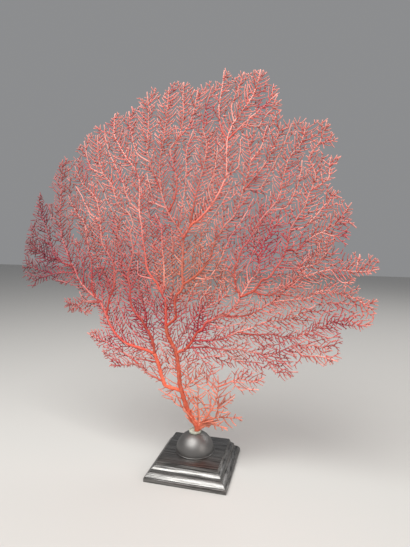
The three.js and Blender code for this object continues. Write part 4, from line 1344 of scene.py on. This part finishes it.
def make_lacquer():
    finish, tree, shader = new_finish("dark lacquer")
    blotches = noise(tree, object_place(tree), 60, 4)
    colour = ramp(tree, blotches, [(0.35, LACQUER_DARK), (0.65, LACQUER_BROWN)])
    tree.links.new(colour, shader.inputs["Base Color"])
    smudges = noise(tree, object_place(tree, (1, 1, 3)), 120, 3)
    tree.links.new(rescale(tree, smudges, (0.3, 0.7), (0.45, 0.51)), shader.inputs["Roughness"])
    shader.inputs["IOR"].default_value = LACQUER_IOR
    lines = noise(tree, object_place(tree, TURNING_LINES), 1, 2)
    bump(tree, shader, lines, strength=0.08, depth=0.0001)
    return finish


def make_pale_ring():
    finish, tree, shader = new_finish("pale ring")
    mottling = noise(tree, object_place(tree), 260, 4)
    colour = ramp(tree, mottling, [(0.3, RING_OLIVE), (0.55, RING_PALE), (0.8, RING_CREAM)])
    tree.links.new(colour, shader.inputs["Base Color"])
    tree.links.new(rescale(tree, mottling, (0.3, 0.7), (0.28, 0.45)), shader.inputs["Roughness"])
    bump(tree, shader, mottling, strength=0.15, depth=0.0001)
    return finish


dome.data.materials.append(make_lacquer())
collar.data.materials.append(make_pale_ring())
print("dome and collar finished")

# %% [markdown]
# Each new piece now hides the plain part that it stands in for, and rides on the one body there
# is, because nothing on this piece moves.

# %% Stand in for the plain model
for piece, node, slot in ((plinth, "plinth", "blackened_wood"), (dome, "dome", "dark_lacquer"),
                          (collar, "collar", "pale_ring")):
    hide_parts(node)
    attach(piece, "root")
for limb, piece in limb_pieces.items():
    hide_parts(limb)
    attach(piece, "root")
print("pieces in place", 3 + len(limb_pieces))

# %% [markdown]
# The stage is a plain pale floor under soft light: one broad panel above and in front, two weaker
# ones on the right and behind, and a pale room all round, which the lacquer and the wax mirror.

# %% Floor and light
FLOOR_SIZE = 6
FLOOR_GREY = (0.57, 0.565, 0.555)
FLOOR_ROUGHNESS = 0.85
ROOM_GREY = (0.80, 0.81, 0.83)
ROOM_STRENGTH = 0.33
LIT_PLACE = (0, 0, 0.25)


def area_light(name, location, size, watts, colour):
    data = bpy.data.lights.new(name, "AREA")
    data.shape = "RECTANGLE"
    data.size, data.size_y = size
    data.energy = watts
    data.color = colour
    lamp = bpy.data.objects.new(name, data)
    lamp.location = location
    direction = Vector(LIT_PLACE) - Vector(location)
    lamp.rotation_euler = direction.to_track_quat("-Z", "Y").to_euler()
    bpy.context.scene.collection.objects.link(lamp)


start_clean()
bpy.ops.mesh.primitive_plane_add(size=FLOOR_SIZE, location=(0, 0, 0))
floor = bpy.context.object
floor.name = "pale_floor"
floor_finish, _, floor_shader = new_finish("pale floor")
floor_shader.inputs["Base Color"].default_value = (*FLOOR_GREY, 1)
floor_shader.inputs["Roughness"].default_value = FLOOR_ROUGHNESS
floor.data.materials.append(floor_finish)
floor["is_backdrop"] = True

world = bpy.data.worlds.new("pale room")
world.use_nodes = True
background = world.node_tree.nodes["Background"]
background.inputs["Color"].default_value = (*ROOM_GREY, 1)
background.inputs["Strength"].default_value = ROOM_STRENGTH
bpy.context.scene.world = world
bpy.context.scene.view_settings.view_transform = "Standard"
area_light("broad panel above", (-0.28, -0.68, 1.36), (1.2, 1.0), 28, (1, 0.975, 0.93))
area_light("weak panel right", (1.2, -0.6, 0.7), (0.7, 0.7), 5, (1, 0.92, 0.84))
area_light("weak panel behind", (1.0, 1.0, 1.3), (0.8, 0.8), 7, (1, 0.97, 0.94))
print("light and floor set")

# %% [markdown]
# The last cell measures how far the dressed piece reaches past the plain model at each end.

# %% Sizes and finish
visual_box = [list(corner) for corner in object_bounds()]
for low_high, cad_corner, visual_corner in zip(("low", "high"), cad_box, visual_box):
    print(low_high, [round(v - c, 4) for c, v in zip(cad_corner, visual_corner)])
